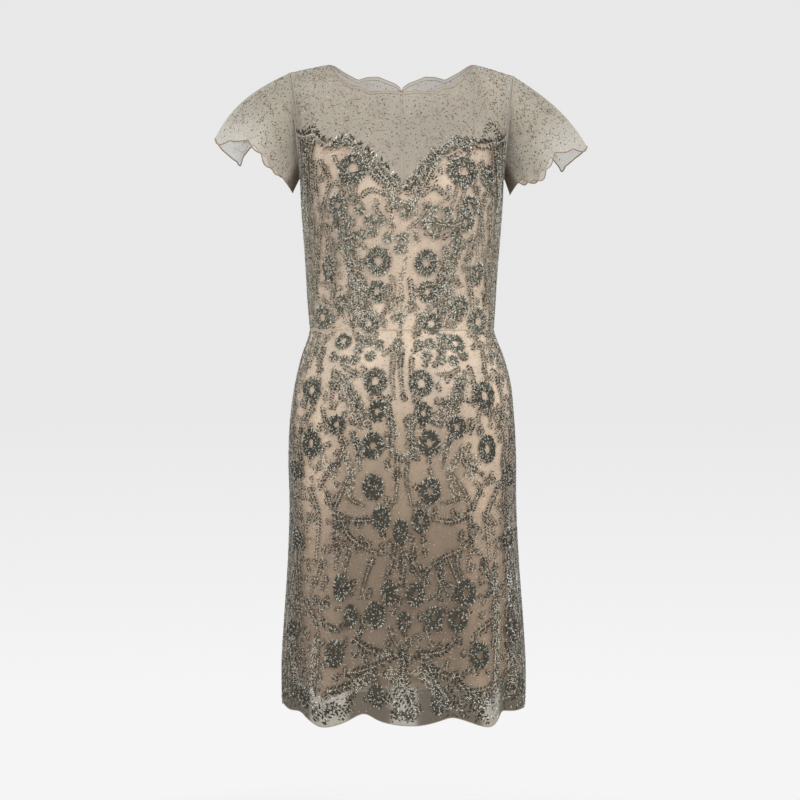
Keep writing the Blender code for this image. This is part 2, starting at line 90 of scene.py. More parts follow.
# Level rings of the body: height, half width, depth in front, depth behind, shift to +X
BODY_RINGS = np.array((
    (-0.940, 0.1775, 0.1280, 0.1260, 0.0030),
    (-0.870, 0.1780, 0.1270, 0.1255, 0.0030),
    (-0.810, 0.1745, 0.1255, 0.1250, 0.0030),
    (-0.715, 0.1680, 0.1235, 0.1240, 0.0025),
    (-0.635, 0.1650, 0.1220, 0.1250, 0.0020),
    (-0.565, 0.1655, 0.1205, 0.1270, 0.0010),
    (-0.505, 0.1620, 0.1170, 0.1240, 0.0010),
    (-0.460, 0.1560, 0.1120, 0.1130, 0.0020),
    (-0.425, 0.1470, 0.1060, 0.0990, 0.0015),
    (-0.384, 0.1335, 0.0990, 0.0850, 0.0005),
    (-0.345, 0.1365, 0.0995, 0.0850, 0.0000),
    (-0.310, 0.1385, 0.1030, 0.0875, 0.0000),
    (-0.260, 0.1420, 0.1110, 0.0930, 0.0005),
    (-0.205, 0.1460, 0.1150, 0.0985, 0.0005),
    (-0.166, 0.1475, 0.1110, 0.1010, 0.0005),
))
RING_FIELDS = {"half": 1, "front": 2, "back": 3, "lean": 4}

# Necklines: distance from the centre, height of the edge
NECKLINES = {
    "front": (
        (0.000, -0.0475), (0.020, -0.0445), (0.045, -0.0450), (0.060, -0.0360),
        (0.072, -0.0340), (0.087, -0.0230), (0.098, -0.0090), (0.105, 0.0000),
    ),
    "back": (
        (0.000, -0.0280), (0.010, -0.0200), (0.035, -0.0110), (0.050, -0.0125),
        (0.064, -0.0180), (0.084, -0.0090), (0.098, -0.0010), (0.105, 0.0000),
    ),
}

# Top of the slip: column, height of the edge
SLIP_TOPS = {
    "front": ((0.00, -0.190), (0.14, -0.168), (0.32, -0.130), (0.50, -0.114), (0.72, -0.118), (1.00, -0.108)),
    "back": ((0.00, -0.150), (0.40, -0.146), (0.75, -0.130), (1.00, -0.108)),
}

# Flutes of the hem: angle from the centre, width, reach, lift of the net's hem, lift of the slip's hem
FLUTES = {
    "front": (
        (-74.0, 9.0, 0.0030, 0.006, 0.004),
        (-58.0, 10.0, -0.0040, 0.002, 0.002),
        (-36.0, 18.0, 0.0085, -0.011, -0.016),
        (-17.0, 10.0, -0.0085, 0.009, -0.003),
        (3.0, 16.0, 0.0075, -0.004, 0.003),
        (21.0, 10.0, -0.0075, 0.003, -0.003),
        (38.0, 15.0, 0.0095, -0.011, -0.017),
        (53.0, 9.0, -0.0060, 0.004, 0.001),
        (67.0, 13.0, 0.0070, 0.003, 0.005),
    ),
    "back": (
        (-60.0, 13.0, 0.0070, -0.002, -0.004),
        (-42.0, 10.0, -0.0060, 0.004, 0.002),
        (-22.0, 15.0, 0.0080, -0.005, -0.006),
        (0.0, 9.0, -0.0050, 0.004, 0.000),
        (19.0, 14.0, 0.0085, -0.005, -0.007),
        (38.0, 10.0, -0.0065, 0.005, 0.002),
        (58.0, 14.0, 0.0070, -0.002, -0.004),
    ),
}
FLUTE_FIELDS = {"reach": 2, "lift": 3, "slip_lift": 4}
FLUTE_TOP_Z = -0.600

# Soft creases: columns at the upper and lower end, heights of both ends, width in u, depth
CREASES = {
    "front": (
        (-0.20, -0.27, -0.440, -0.900, 0.040, -0.0022),
        (-0.36, -0.40, -0.520, -0.900, 0.060, 0.0020),
        (0.24, 0.26, -0.420, -0.860, 0.040, -0.0022),
        (0.44, 0.42, -0.460, -0.880, 0.070, 0.0022),
        (0.02, 0.04, -0.560, -0.900, 0.060, 0.0014),
        (-0.60, -0.55, -0.470, -0.860, 0.040, -0.0014),
        (0.66, 0.60, -0.470, -0.860, 0.040, -0.0014),
        (-0.30, -0.22, -0.250, -0.380, 0.030, -0.0010),
        (0.30, 0.22, -0.250, -0.380, 0.030, -0.0010),
        (-0.52, -0.44, -0.180, -0.370, 0.030, -0.0008),
        (0.52, 0.46, -0.180, -0.370, 0.030, -0.0008),
    ),
    "back": (
        (-0.30, -0.36, -0.560, -0.900, 0.050, -0.0022),
        (0.28, 0.33, -0.560, -0.900, 0.050, -0.0022),
        (-0.52, -0.50, -0.480, -0.880, 0.060, 0.0018),
        (0.50, 0.52, -0.480, -0.880, 0.060, 0.0018),
        (-0.16, -0.20, -0.330, -0.440, 0.040, -0.0012),
        (0.17, 0.21, -0.330, -0.440, 0.040, -0.0012),
        (-0.40, -0.34, -0.200, -0.370, 0.035, -0.0010),
        (0.40, 0.34, -0.200, -0.370, 0.035, -0.0010),
    ),
}

# Sleeve hems from the crown (0) round to the underarm (1): share, reach from the centre, depth, height
SLEEVE_HEMS = {
    "left_front": (
        (0.00, 0.2735, 0.000, -0.108), (0.10, 0.2610, 0.020, -0.116), (0.22, 0.2400, 0.036, -0.113),
        (0.34, 0.2200, 0.047, -0.116), (0.46, 0.2050, 0.052, -0.130), (0.58, 0.1940, 0.053, -0.147),
        (0.70, 0.1830, 0.050, -0.158), (0.82, 0.1730, 0.043, -0.165), (0.92, 0.1640, 0.030, -0.174),
        (1.00, 0.1585, 0.000, -0.186),
    ),
    "right_front": (
        (0.00, 0.2720, 0.000, -0.120), (0.10, 0.2600, 0.020, -0.126), (0.22, 0.2390, 0.036, -0.127),
        (0.34, 0.2200, 0.047, -0.134), (0.46, 0.2100, 0.052, -0.152), (0.58, 0.2010, 0.054, -0.168),
        (0.70, 0.1850, 0.051, -0.173), (0.82, 0.1730, 0.043, -0.170), (0.92, 0.1640, 0.030, -0.176),
        (1.00, 0.1580, 0.000, -0.189),
    ),
    "left_back": (
        (0.00, 0.2735, 0.000, -0.108), (0.10, 0.2570, 0.022, -0.124), (0.20, 0.2390, 0.038, -0.143),
        (0.28, 0.2320, 0.045, -0.126), (0.35, 0.2200, 0.050, -0.113), (0.46, 0.2050, 0.055, -0.126),
        (0.58, 0.1940, 0.056, -0.143), (0.70, 0.1830, 0.052, -0.154), (0.82, 0.1730, 0.044, -0.162),
        (0.92, 0.1640, 0.031, -0.173), (1.00, 0.1585, 0.000, -0.186),
    ),
    "right_back": (
        (0.00, 0.2720, 0.000, -0.120), (0.10, 0.2560, 0.022, -0.130), (0.20, 0.2380, 0.038, -0.151),
        (0.28, 0.2310, 0.045, -0.141), (0.35, 0.2210, 0.050, -0.131), (0.46, 0.2100, 0.055, -0.148),
        (0.58, 0.2000, 0.056, -0.164), (0.70, 0.1850, 0.052, -0.169), (0.82, 0.1730, 0.044, -0.168),
        (0.92, 0.1640, 0.031, -0.175), (1.00, 0.1580, 0.000, -0.189),
    ),
}
SLEEVE_ROOM = 0.0008
SLEEVE_ROOM_UNDERARM = 0.0018
SLEEVE_CROWN = {"left": 0.0140, "right": 0.0100}
SLEEVE_LIFT = (0.41, 0.91)
SLEEVE_FULLNESS = 0.0060
SLEEVE_LOBES = 6
SLEEVE_LOBE_DEPTH = 0.0050
SLEEVE_COVER = 0.40

# Beadwork on the front: flowers as column, height, and width and height in millimetres
FLOWERS = (
    (-0.29, -0.155, 47, 48),
    (0.38, -0.160, 53, 48),
    (0.47, -0.115, 24, 21),
    (0.61, -0.168, 36, 32),
    (-0.41, -0.210, 35, 31),
    (0.44, -0.212, 35, 31),
    (-0.38, -0.233, 32, 29),
    (0.41, -0.233, 32, 29),
    (-0.13, -0.287, 35, 43),
    (0.14, -0.290, 35, 40),
    (-0.52, -0.297, 21, 37),
    (0.55, -0.305, 24, 33),
    (-0.14, -0.330, 27, 33),
    (0.15, -0.330, 27, 33),
    (-0.41, -0.347, 24, 28),
    (0.40, -0.350, 25, 30),
    (-0.62, -0.367, 37, 36),
    (0.59, -0.372, 40, 37),
    (-0.20, -0.375, 30, 29),
    (0.18, -0.375, 32, 31),
    (-0.39, -0.400, 27, 25),
    (0.34, -0.403, 28, 27),
    (-0.14, -0.455, 35, 39),
    (0.09, -0.458, 36, 39),
    (-0.60, -0.470, 39, 38),
    (0.50, -0.477, 39, 40),
    (-0.12, -0.497, 26, 30),
    (0.10, -0.500, 25, 30),
    (-0.36, -0.517, 28, 28),
    (0.29, -0.520, 28, 33),
    (-0.56, -0.545, 37, 42),
    (0.50, -0.552, 34, 42),
    (-0.14, -0.545, 29, 37),
    (0.13, -0.542, 30, 36),
    (-0.74, -0.585, 34, 30),
    (0.74, -0.593, 32, 30),
    (-0.14, -0.603, 31, 37),
    (0.13, -0.608, 31, 37),
    (-0.10, -0.647, 26, 35),
    (0.08, -0.650, 26, 36),
    (-0.01, -0.665, 22, 37),
    (-0.72, -0.682, 28, 29),
    (0.71, -0.682, 27, 30),
    (-0.32, -0.745, 20, 37),
    (-0.06, -0.750, 24, 37),
    (0.05, -0.752, 28, 35),
    (0.32, -0.752, 30, 38),
    (-0.26, -0.785, 20, 35),
    (-0.13, -0.782, 29, 38),
    (0.00, -0.790, 21, 28),
    (0.14, -0.785, 29, 32),
    (0.27, -0.790, 27, 35),
    (-0.34, -0.838, 29, 39),
    (0.38, -0.840, 30, 39),
    (0.67, -0.810, 23, 29),
    (-0.73, -0.815, 24, 29),
    (-0.12, -0.895, 24, 34),
    (0.16, -0.905, 29, 35),
    (-0.57, -0.905, 32, 29),
)

# Small round buds: column, height
BUDS = (
    (-0.24, -0.217), (-0.16, -0.247), (-0.07, -0.255), (0.00, -0.255), (-0.01, -0.270), (0.02, -0.223),
    (-0.03, -0.205), (0.19, -0.250), (0.27, -0.220), (0.24, -0.237), (-0.44, -0.422), (-0.36, -0.427),
    (-0.28, -0.425), (-0.18, -0.420), (-0.26, -0.395), (-0.26, -0.410), (-0.20, -0.400), (-0.13, -0.405),
    (-0.02, -0.403), (0.09, -0.405), (0.16, -0.403), (0.25, -0.395), (0.23, -0.410), (0.13, -0.420),
    (0.22, -0.425), (0.30, -0.427), (0.38, -0.420), (0.68, -0.420), (0.78, -0.427), (0.84, -0.405),
    (-0.03, -0.915), (0.01, -0.917), (0.60, -0.910), (-0.18, -0.231), (-0.115, -0.232), (-0.235, -0.251),
    (-0.30, -0.254), (-0.38, -0.252), (-0.31, -0.234), (0.045, -0.209), (0.13, -0.236), (0.175, -0.232),
    (0.16, -0.217), (0.31, -0.236), (0.33, -0.252),
)
BUD_SIZE = 16.0

# Leafy sprigs: length of a leaf in millimetres, then the stem's places. The first table is also mirrored.
SPRIGS_BOTH = (
    (5, (-0.51, -0.390), (-0.60, -0.405), (-0.67, -0.415)),
    (5, (-0.56, -0.405), (-0.56, -0.430), (-0.53, -0.460)),
    (5, (-0.42, -0.435), (-0.41, -0.465), (-0.41, -0.495)),
    (3.5, (-0.39, -0.440), (-0.29, -0.470), (-0.21, -0.515)),
    (4, (-0.36, -0.435), (-0.26, -0.445), (-0.19, -0.450)),
    (5, (-0.95, -0.405), (-0.96, -0.450), (-0.85, -0.505), (-0.83, -0.560)),
    (4.5, (-0.04, -0.415), (-0.05, -0.445), (-0.04, -0.480)),
    (4.5, (-0.48, -0.490), (-0.45, -0.510), (-0.43, -0.530)),
    (5, (-0.55, -0.490), (-0.60, -0.505), (-0.64, -0.525)),
    (3, (-0.34, -0.445), (-0.27, -0.475), (-0.18, -0.505)),
    (4, (-0.95, -0.415), (-0.73, -0.435), (-0.72, -0.460)),
    (4, (-0.26, -0.525), (-0.22, -0.550), (-0.21, -0.580)),
    (4.5, (-0.30, -0.540), (-0.33, -0.565), (-0.45, -0.590)),
    (4.5, (-0.07, -0.480), (-0.04, -0.525), (-0.05, -0.560)),
    (4, (-0.02, -0.555), (-0.02, -0.590), (-0.03, -0.625)),
    (5, (-0.66, -0.560), (-0.68, -0.615), (-0.66, -0.665)),
    (5.5, (-0.59, -0.605), (-0.51, -0.635), (-0.50, -0.710)),
    (4.5, (-0.38, -0.640), (-0.43, -0.610), (-0.49, -0.595)),
    (4.5, (-0.38, -0.640), (-0.32, -0.610), (-0.27, -0.585)),
    (5.5, (-0.38, -0.640), (-0.27, -0.650), (-0.15, -0.650)),
    (5, (-0.37, -0.640), (-0.35, -0.675), (-0.35, -0.720)),
    (4, (-0.30, -0.615), (-0.24, -0.625), (-0.19, -0.630)),
    (4, (-0.04, -0.620), (-0.07, -0.635), (-0.12, -0.625)),
    (4, (-0.03, -0.680), (-0.05, -0.710), (-0.08, -0.730)),
    (4.5, (-0.45, -0.705), (-0.48, -0.735), (-0.55, -0.760)),
    (4, (-0.27, -0.690), (-0.29, -0.710), (-0.30, -0.730)),
    (4, (-0.15, -0.705), (-0.18, -0.730), (-0.21, -0.760)),
    (5, (-0.34, -0.205), (-0.36, -0.245), (-0.33, -0.290), (-0.32, -0.340), (-0.33, -0.380)),
    (5, (-0.45, -0.175), (-0.55, -0.220), (-0.62, -0.280), (-0.73, -0.340)),
    (5, (-0.73, -0.140), (-0.75, -0.200), (-0.80, -0.270), (-0.80, -0.340), (-0.82, -0.380)),
    (5, (-0.60, -0.145), (-0.49, -0.160), (-0.43, -0.185)),
    (4, (-0.47, -0.130), (-0.42, -0.145), (-0.37, -0.160)),
    (3.5, (-0.38, -0.180), (-0.36, -0.195), (-0.33, -0.210)),
    (3.5, (-0.32, -0.180), (-0.30, -0.195), (-0.29, -0.210)),
    (3.5, (-0.26, -0.180), (-0.26, -0.200), (-0.22, -0.210)),
    (4.5, (-0.24, -0.200), (-0.17, -0.190), (-0.09, -0.195)),
    (5.5, (-0.84, -0.125), (-0.67, -0.120), (-0.56, -0.120)),
    (5.5, (-0.50, -0.120), (-0.40, -0.105), (-0.25, -0.120)),
    (5.5, (-0.24, -0.125), (-0.16, -0.145), (-0.10, -0.170)),
    (5.5, (-0.13, -0.155), (-0.06, -0.180), (-0.01, -0.195)),
    (5, (-0.19, -0.150), (-0.13, -0.175), (-0.07, -0.190)),
    (5, (-0.62, -0.150), (-0.60, -0.180), (-0.56, -0.220)),
    (5, (-0.80, -0.130), (-0.82, -0.155), (-0.79, -0.205)),
    (4, (-0.16, -0.210), (-0.09, -0.230), (-0.03, -0.240)),
    (4.5, (-0.27, -0.295), (-0.26, -0.330), (-0.29, -0.355)),
    (4.5, (-0.05, -0.305), (-0.04, -0.330), (-0.06, -0.355)),
    (5, (-0.48, -0.250), (-0.46, -0.290), (-0.49, -0.340), (-0.53, -0.380)),
    (4, (-0.41, -0.260), (-0.31, -0.270), (-0.24, -0.290)),
    (4, (-0.55, -0.230), (-0.51, -0.265), (-0.56, -0.290)),
    (4, (-0.24, -0.305), (-0.21, -0.340), (-0.25, -0.370)),
    (4, (-0.09, -0.355), (-0.11, -0.365), (-0.10, -0.380)),
    (4, (-0.46, -0.370), (-0.42, -0.355), (-0.38, -0.375)),
)
SPRIGS_LEFT = (
    (5.5, (-0.33, -0.645), (-0.28, -0.672), (-0.17, -0.690), (-0.06, -0.698)),
    (5, (-0.53, -0.760), (-0.45, -0.765), (-0.39, -0.775)),
    (5, (-0.60, -0.765), (-0.46, -0.805), (-0.44, -0.845), (-0.46, -0.895)),
    (5.5, (-0.44, -0.790), (-0.38, -0.800), (-0.32, -0.805)),
    (7, (-0.25, -0.815), (-0.17, -0.830), (-0.08, -0.835), (-0.01, -0.835)),
    (7, (-0.28, -0.865), (-0.19, -0.860), (-0.10, -0.850), (-0.02, -0.835)),
    (6.5, (-0.37, -0.890), (-0.29, -0.885), (-0.21, -0.875), (-0.16, -0.860)),
    (5, (-0.83, -0.715), (-0.79, -0.770), (-0.75, -0.810)),
    (4.5, (-0.72, -0.725), (-0.67, -0.770), (-0.60, -0.825)),
    (5, (-0.66, -0.840), (-0.57, -0.870), (-0.62, -0.900)),
    (5, (-0.75, -0.835), (-0.70, -0.870), (-0.68, -0.910)),
    (4.5, (-0.06, -0.795), (-0.04, -0.815), (-0.01, -0.830)),
    (7, (-0.48, -0.925), (-0.40, -0.910), (-0.32, -0.905)),
    (7, (-0.41, -0.925), (-0.35, -0.915), (-0.30, -0.910)),
    (6, (-0.24, -0.900), (-0.27, -0.910), (-0.30, -0.925)),
    (6.5, (-0.03, -0.880), (-0.00, -0.895), (0.02, -0.910)),
    (6.5, (-0.07, -0.885), (-0.04, -0.895), (-0.03, -0.905)),
)
SPRIGS_RIGHT = (
    (5.5, (0.41, -0.655), (0.32, -0.688), (0.19, -0.703), (0.08, -0.722)),
    (5.5, (0.55, -0.710), (0.54, -0.765), (0.49, -0.835), (0.46, -0.900)),
    (5.5, (0.52, -0.790), (0.42, -0.800), (0.36, -0.810)),
    (5, (0.55, -0.745), (0.46, -0.755), (0.41, -0.770)),
    (7, (0.03, -0.835), (0.11, -0.835), (0.20, -0.830), (0.26, -0.815)),
    (7, (0.08, -0.845), (0.17, -0.865), (0.26, -0.870), (0.33, -0.860)),
    (6.5, (0.23, -0.870), (0.32, -0.890), (0.44, -0.885)),
    (5, (0.41, -0.715), (0.46, -0.735), (0.54, -0.745)),
    (4, (0.18, -0.705), (0.18, -0.730), (0.16, -0.760)),
    (4, (0.23, -0.705), (0.26, -0.725), (0.28, -0.740)),
    (5, (0.73, -0.715), (0.74, -0.770), (0.73, -0.825), (0.72, -0.885)),
    (5, (0.62, -0.825), (0.66, -0.855), (0.64, -0.895)),
    (3.5, (0.06, -0.705), (0.09, -0.725), (0.12, -0.740)),
    (6, (0.10, -0.850), (0.16, -0.885), (0.25, -0.910), (0.30, -0.925)),
    (6.5, (0.32, -0.905), (0.37, -0.915), (0.41, -0.925)),
    (6.5, (0.01, -0.880), (0.03, -0.900), (0.05, -0.920)),
    (5, (0.02, -0.815), (0.00, -0.835), (0.02, -0.865)),
    (6.5, (0.35, -0.920), (0.39, -0.905), (0.43, -0.895)),
)
SPRIGS_CENTRE = (
    (4.5, (0.00, -0.405), (-0.01, -0.440), (-0.00, -0.475)),
    (5, (-0.01, -0.745), (0.00, -0.705), (-0.01, -0.685)),
    (6, (-0.01, -0.815), (-0.00, -0.845), (-0.01, -0.880)),
)

# Bands of pale dots: width in millimetres, then the places of their middle line
BANDS_BOTH = (
    (26, (-0.36, -0.258), (-0.30, -0.290), (-0.26, -0.330)),
    (20, (-0.27, -0.315), (-0.27, -0.345), (-0.31, -0.378)),
    (24, (-0.36, -0.450), (-0.27, -0.480), (-0.17, -0.520)),
    (9, (-0.08, -0.320), (-0.04, -0.345), (-0.00, -0.375)),
    (16, (-0.51, -0.120), (-0.39, -0.105), (-0.24, -0.125)),
    (20, (-0.22, -0.125), (-0.11, -0.165), (-0.01, -0.190)),
    (12, (-0.09, -0.190), (-0.05, -0.205), (0.00, -0.210)),
    (14, (-0.78, -0.140), (-0.77, -0.185), (-0.77, -0.250)),
    (12, (-0.26, -0.525), (-0.22, -0.545), (-0.21, -0.570)),
    (16, (-0.49, -0.555), (-0.42, -0.575), (-0.35, -0.590)),
    (12, (-0.30, -0.555), (-0.26, -0.580), (-0.28, -0.620)),
    (10, (-0.08, -0.495), (-0.04, -0.515), (-0.02, -0.535)),
    (10, (-0.06, -0.535), (-0.03, -0.555), (0.00, -0.560)),
    (12, (-0.26, -0.315), (-0.17, -0.360), (-0.09, -0.375)),
)
BANDS_LEFT = (
    (5, (-0.05, -0.190), (-0.05, -0.220), (-0.05, -0.249)),
    (5, (0.00, -0.305), (0.00, -0.345), (-0.005, -0.382)),
    (12, (-0.72, -0.825), (-0.66, -0.875), (-0.56, -0.900)),
    (10, (-0.46, -0.820), (-0.48, -0.860), (-0.48, -0.900)),
    (16, (-0.24, -0.885), (-0.19, -0.875), (-0.13, -0.865)),
    (18, (-0.07, -0.860), (-0.01, -0.870), (0.00, -0.895)),
)
BANDS_RIGHT = (
    (5, (0.07, -0.190), (0.07, -0.225), (0.07, -0.260)),
    (5, (0.03, -0.250), (0.02, -0.280), (0.01, -0.305)),
    (14, (0.54, -0.725), (0.53, -0.795), (0.48, -0.890)),
    (16, (0.63, -0.840), (0.66, -0.865), (0.64, -0.905)),
    (14, (0.32, -0.895), (0.37, -0.905), (0.46, -0.900)),
    (16, (0.05, -0.855), (0.14, -0.885), (0.22, -0.920)),
)

# The leaf spray along the slip's top edge
SPRAY_LINES = {
    "front": (
        (-0.97, -0.122), (-0.84, -0.127), (-0.67, -0.126), (-0.55, -0.123), (-0.38, -0.099), (-0.23, -0.123),
        (-0.11, -0.147), (-0.04, -0.172), (0.01, -0.184), (0.08, -0.172), (0.18, -0.142), (0.30, -0.129),
        (0.48, -0.116), (0.63, -0.133), (0.88, -0.130), (0.97, -0.124),
    ),
    "back": (
        (-0.97, -0.122), (-0.75, -0.138), (-0.50, -0.150), (-0.25, -0.154), (-0.06, -0.158),
        (0.06, -0.158), (0.25, -0.154), (0.50, -0.150), (0.75, -0.138), (0.97, -0.122),
    ),
}

# Leafy garlands down both sides: column, sideways swing
SIDE_GARLANDS = ((0.675, 0.018), (0.765, 0.016), (0.85, 0.014), (0.93, 0.010), (0.982, 0.004))

# Patches at the sides without a garland: column, height, half width in columns, half height
SIDE_PATCHES = (
    (0.77, -0.640, 0.07, 0.060), (-0.74, -0.470, 0.06, 0.050), (0.76, -0.500, 0.07, 0.050),
    (-0.69, -0.610, 0.05, 0.050), (0.70, -0.400, 0.05, 0.040), (-0.85, -0.400, 0.05, 0.040),
)

# Patches of plain cloth without filling sprigs: column, height, half width in columns, half height
BARE_PATCHES = (
    (-0.20, -0.190, 0.12, 0.014), (0.26, -0.195, 0.12, 0.014), (-0.06, -0.300, 0.07, 0.035),
    (0.04, -0.300, 0.06, 0.035), (0.12, -0.225, 0.10, 0.010), (-0.15, -0.232, 0.12, 0.008),
    (-0.20, -0.335, 0.05, 0.012), (0.21, -0.335, 0.05, 0.012), (-0.45, -0.430, 0.10, 0.020),
    (0.40, -0.440, 0.10, 0.020), (-0.25, -0.600, 0.09, 0.045), (0.24, -0.590, 0.09, 0.045),
    (0.00, -0.620, 0.05, 0.030), (0.22, -0.680, 0.08, 0.020), (-0.22, -0.720, 0.10, 0.018),
    (0.38, -0.640, 0.08, 0.030), (-0.48, -0.660, 0.05, 0.030),
)

# Lighter windows in the sheer hem, where the net lies single and is not darkened by painted shade, and
# patches of leaves: first and last column
HEM_WINDOWS = ((-0.51, -0.25), (-0.065, 0.065), (0.37, 0.54), (0.80, 0.97))
HEM_PATCHES = ((-0.98, -0.52), (-0.50, -0.28), (-0.05, 0.05), (0.20, 0.40), (0.40, 0.53), (0.60, 0.95))
HEM_LEAF_TOP_Z = -0.888

# Colours of the satin by height, from its hem (0) to its top (1): down the middle and at the sides. They
# carry painted shade, darker down the middle and towards the hem, and painted light, brightest at the waist
# and hips and on the sides.
SATIN_MIDDLE_LIGHT_AND_SHADE = (
    (0.05, (118, 100, 83)), (0.19, (112, 93, 76)), (0.30, (130, 110, 91)), (0.40, (162, 142, 121)),
    (0.47, (178, 158, 136)), (0.54, (202, 183, 163)), (0.62, (228, 207, 185)),
    (0.78, (214, 194, 173)), (1.00, (204, 184, 164)),
)
SATIN_SIDES_LIGHT_AND_SHADE = (
    (0.05, (162, 140, 119)), (0.12, (154, 132, 111)), (0.26, (184, 160, 137)), (0.34, (216, 191, 167)),
    (0.48, (224, 201, 177)), (0.62, (234, 214, 191)),
    (0.78, (212, 192, 171)), (1.00, (204, 184, 164)),
)

# Beads: their corners as shares of half the length, half the width and the height, and their lift in metres
BEAD_KITE = ((1, 0, 0), (0, 1, 0), (-1, 0, 0), (0, -1, 0), (0, 0, 1))
BEAD_SPIKE = ((1, 0, 0), (-0.6, 0.9, 0), (-0.6, -0.9, 0), (-0.1, 0, 1))
BEAD_LIFT = 0.0002

# Length, width and height of the smallest beads in millimetres
STEM_BEAD = (1.8, 1.8, 0.8)
FERN_DOT = (1.7, 1.4, 0.7)
BAND_BEAD = (2.6, 2.4, 0.8)
FOOT_BEAD = (1.6, 1.6, 0.8)
LOOSE_BEAD = (1.7, 1.5, 0.6)

# Tones of dark, middling and bright beads, and the shares of dark and of bright ones in each kind of work.
# The bright ones are silver beads painted near white, a painted glint.
DARK_TONES = (0.0, 0.22)
MIDDLE_TONES = (0.40, 0.65)
BRIGHT_GLINT_TONES = (0.82, 1.0)
MIXES = {
    "flower": (0.82, 0.14), "flower edge": (0.66, 0.24), "stem": (0.20, 0.50), "leaf": (0.84, 0.0),
    "fern dots": (0.24, 0.64), "band": (0.30, 0.42), "spray": (0.66, 0.08), "hem": (0.72, 0.14),
    "loose": (0.50, 0.20),
}
OLIVE_TONES = (0.42, 0.66)
OLIVE_SHARE = 0.62
BROWN_TONE = 0.33
CREAM_TONE = 0.90

# The sheer yoke and sleeves: share of dark beads, of dark and brown ones, and of all but the paired stones
SHEER_DARK = 0.50
SHEER_BEADS = 0.93
SHEER_SINGLE = 0.96

# Gaps in millimetres between the beads, leaves, sprigs or scrolls of a kind, and the dots' room off a flower
RING_GAP = {"front": 1.8, "back": 2.2}
BUD_GAP = 2.0
STEM_GAP = 2.8
FERN_DOT_GAP = {"front": 1.9, "back": 3.0}
FERN_DOT_ROOM = 0.8
BAND_GAP = 2.4
SPRAY_GAP = 7.5
HEM_LEAF_GAP = 6.2
LOOSE_GAP = 8.5
FILLER_GAP = 21.0
YOKE_GAP = 8.0
YOKE_SCROLL_GAP = 25.0
SLEEVE_GAP = 9.0
SLEEVE_SCROLL_GAP = 26.0

# Leaves of a sprig against its leaf length: gap, length, width, their lean off the stem in degrees, and how
# far off the stem its dots reach
LEAF_GAP = 0.82
LEAF_LENGTH = 1.30
LEAF_WIDTH = 0.42
LEAF_LEAN = 52.0
FERN_REACH = 2.0

# Leaves of a fan in the spray: lean in degrees, shift of the foot and length in millimetres
SPRAY_LEAVES = (
    (-40.0, -2.5, 9.0), (8.0, 0.0, 10.0), (46.0, 2.5, 8.0), (-150.0, -2.0, 8.0), (155.0, 2.0, 8.0),
)

# Garlands: heights of the first and the last, length of each and of its parts, and a leaf in millimetres
GARLAND_TOP_Z = -0.128
GARLAND_LOW_Z = -0.86
GARLAND_LENGTH = 0.078
GARLAND_STEP = 0.0192
GARLAND_LEAF = 5.5

# The back's flowers are smaller, and all stay clear of the closure: size, and least column
BACK_FLOWER = 0.92
BACK_CLEAR = {"flowers": 0.11, "buds": 0.08}

# Bead rings of the flowers and stitched rings under them: hole as a share of the reach, columns and petals
BEAD_HOLE = 0.36
FLOWER_HOLE = 0.33
BUD_HOLE = 0.05
RING_COLUMNS = 36
RING_PETALS = 9

# The first random seed of each kind of work
SEEDS = {"side": 11, "yoke": 31, "sleeve": 51}

# Threads: lift off the net, and the curled scrolls on the yoke and sleeves
THREAD_LIFT = 0.0003
SEAM_LIFT = 0.0002
SCROLL_RADIUS = 0.0003
SCROLL_POINTS = 22
SCROLL_SIZES = (6.0, 13.0)
SCROLL_MARGIN = {False: 0.003, True: 0.03}

# Cords, seams and stitching: radius and lift in metres, and the columns and heights that they run along
NECK_CORD = 0.0005
NECK_THREAD = 0.00035
NECK_THREAD_Z = -0.0052
SLEEVE_CORD = 0.0009
ARMHOLE_CORD = 0.0005
ARMHOLE_LIFT = 0.0004
SEAM_CORD = 0.0006
ZIP_FOLD = 0.0012
ZIP_FOLD_COLUMN = 0.0095
ZIP_THREAD = 0.0003
ZIP_THREAD_COLUMN = 0.036
ZIP_END_Z = -0.560
BACK_SEAM = 0.0008

# Cover of the net past the slip: at the hem, in the hem's windows, and how much less at the back of the neck.
# At the hem and in its windows it also sets how much painted shade darkens the net.
HEM_COVER_AND_SHADE = 0.95
WINDOW_COVER_AND_SHADE = 0.24
BACK_NECK_CLEAR = 0.36

# Folds of the net at the sides of the skirt: shade, cover at the left and at the right
SIDE_SHADE = 0.40
SIDE_COVER = (0.90, 0.82)

# Gaps between these folds: side, height, half height, depth
SIDE_GAPS = (
    (1, -0.672, 0.010, 0.5), (1, -0.757, 0.024, 1.0), (1, -0.800, 0.009, 0.8),
    (-1, -0.745, 0.016, 0.4), (-1, -0.824, 0.014, 0.6),
)

# Colours of the beads by their tone; the near-white top stops are a painted glint on the silver beads
BEAD_COLOURS = (
    (0.0, (32, 30, 22)), (0.25, (60, 56, 44)), (0.35, (104, 80, 58)), (0.55, (136, 132, 114)),
    (0.80, (208, 205, 186)), (1.0, (252, 250, 238)),
)

# Threads in the materials: pitch in metres, and the turn of the net's threads in degrees
NET_PITCH = 0.0011
NET_TURN = 32.0
TWILL_PITCH = 0.0008
STITCH_PITCH = 0.0013

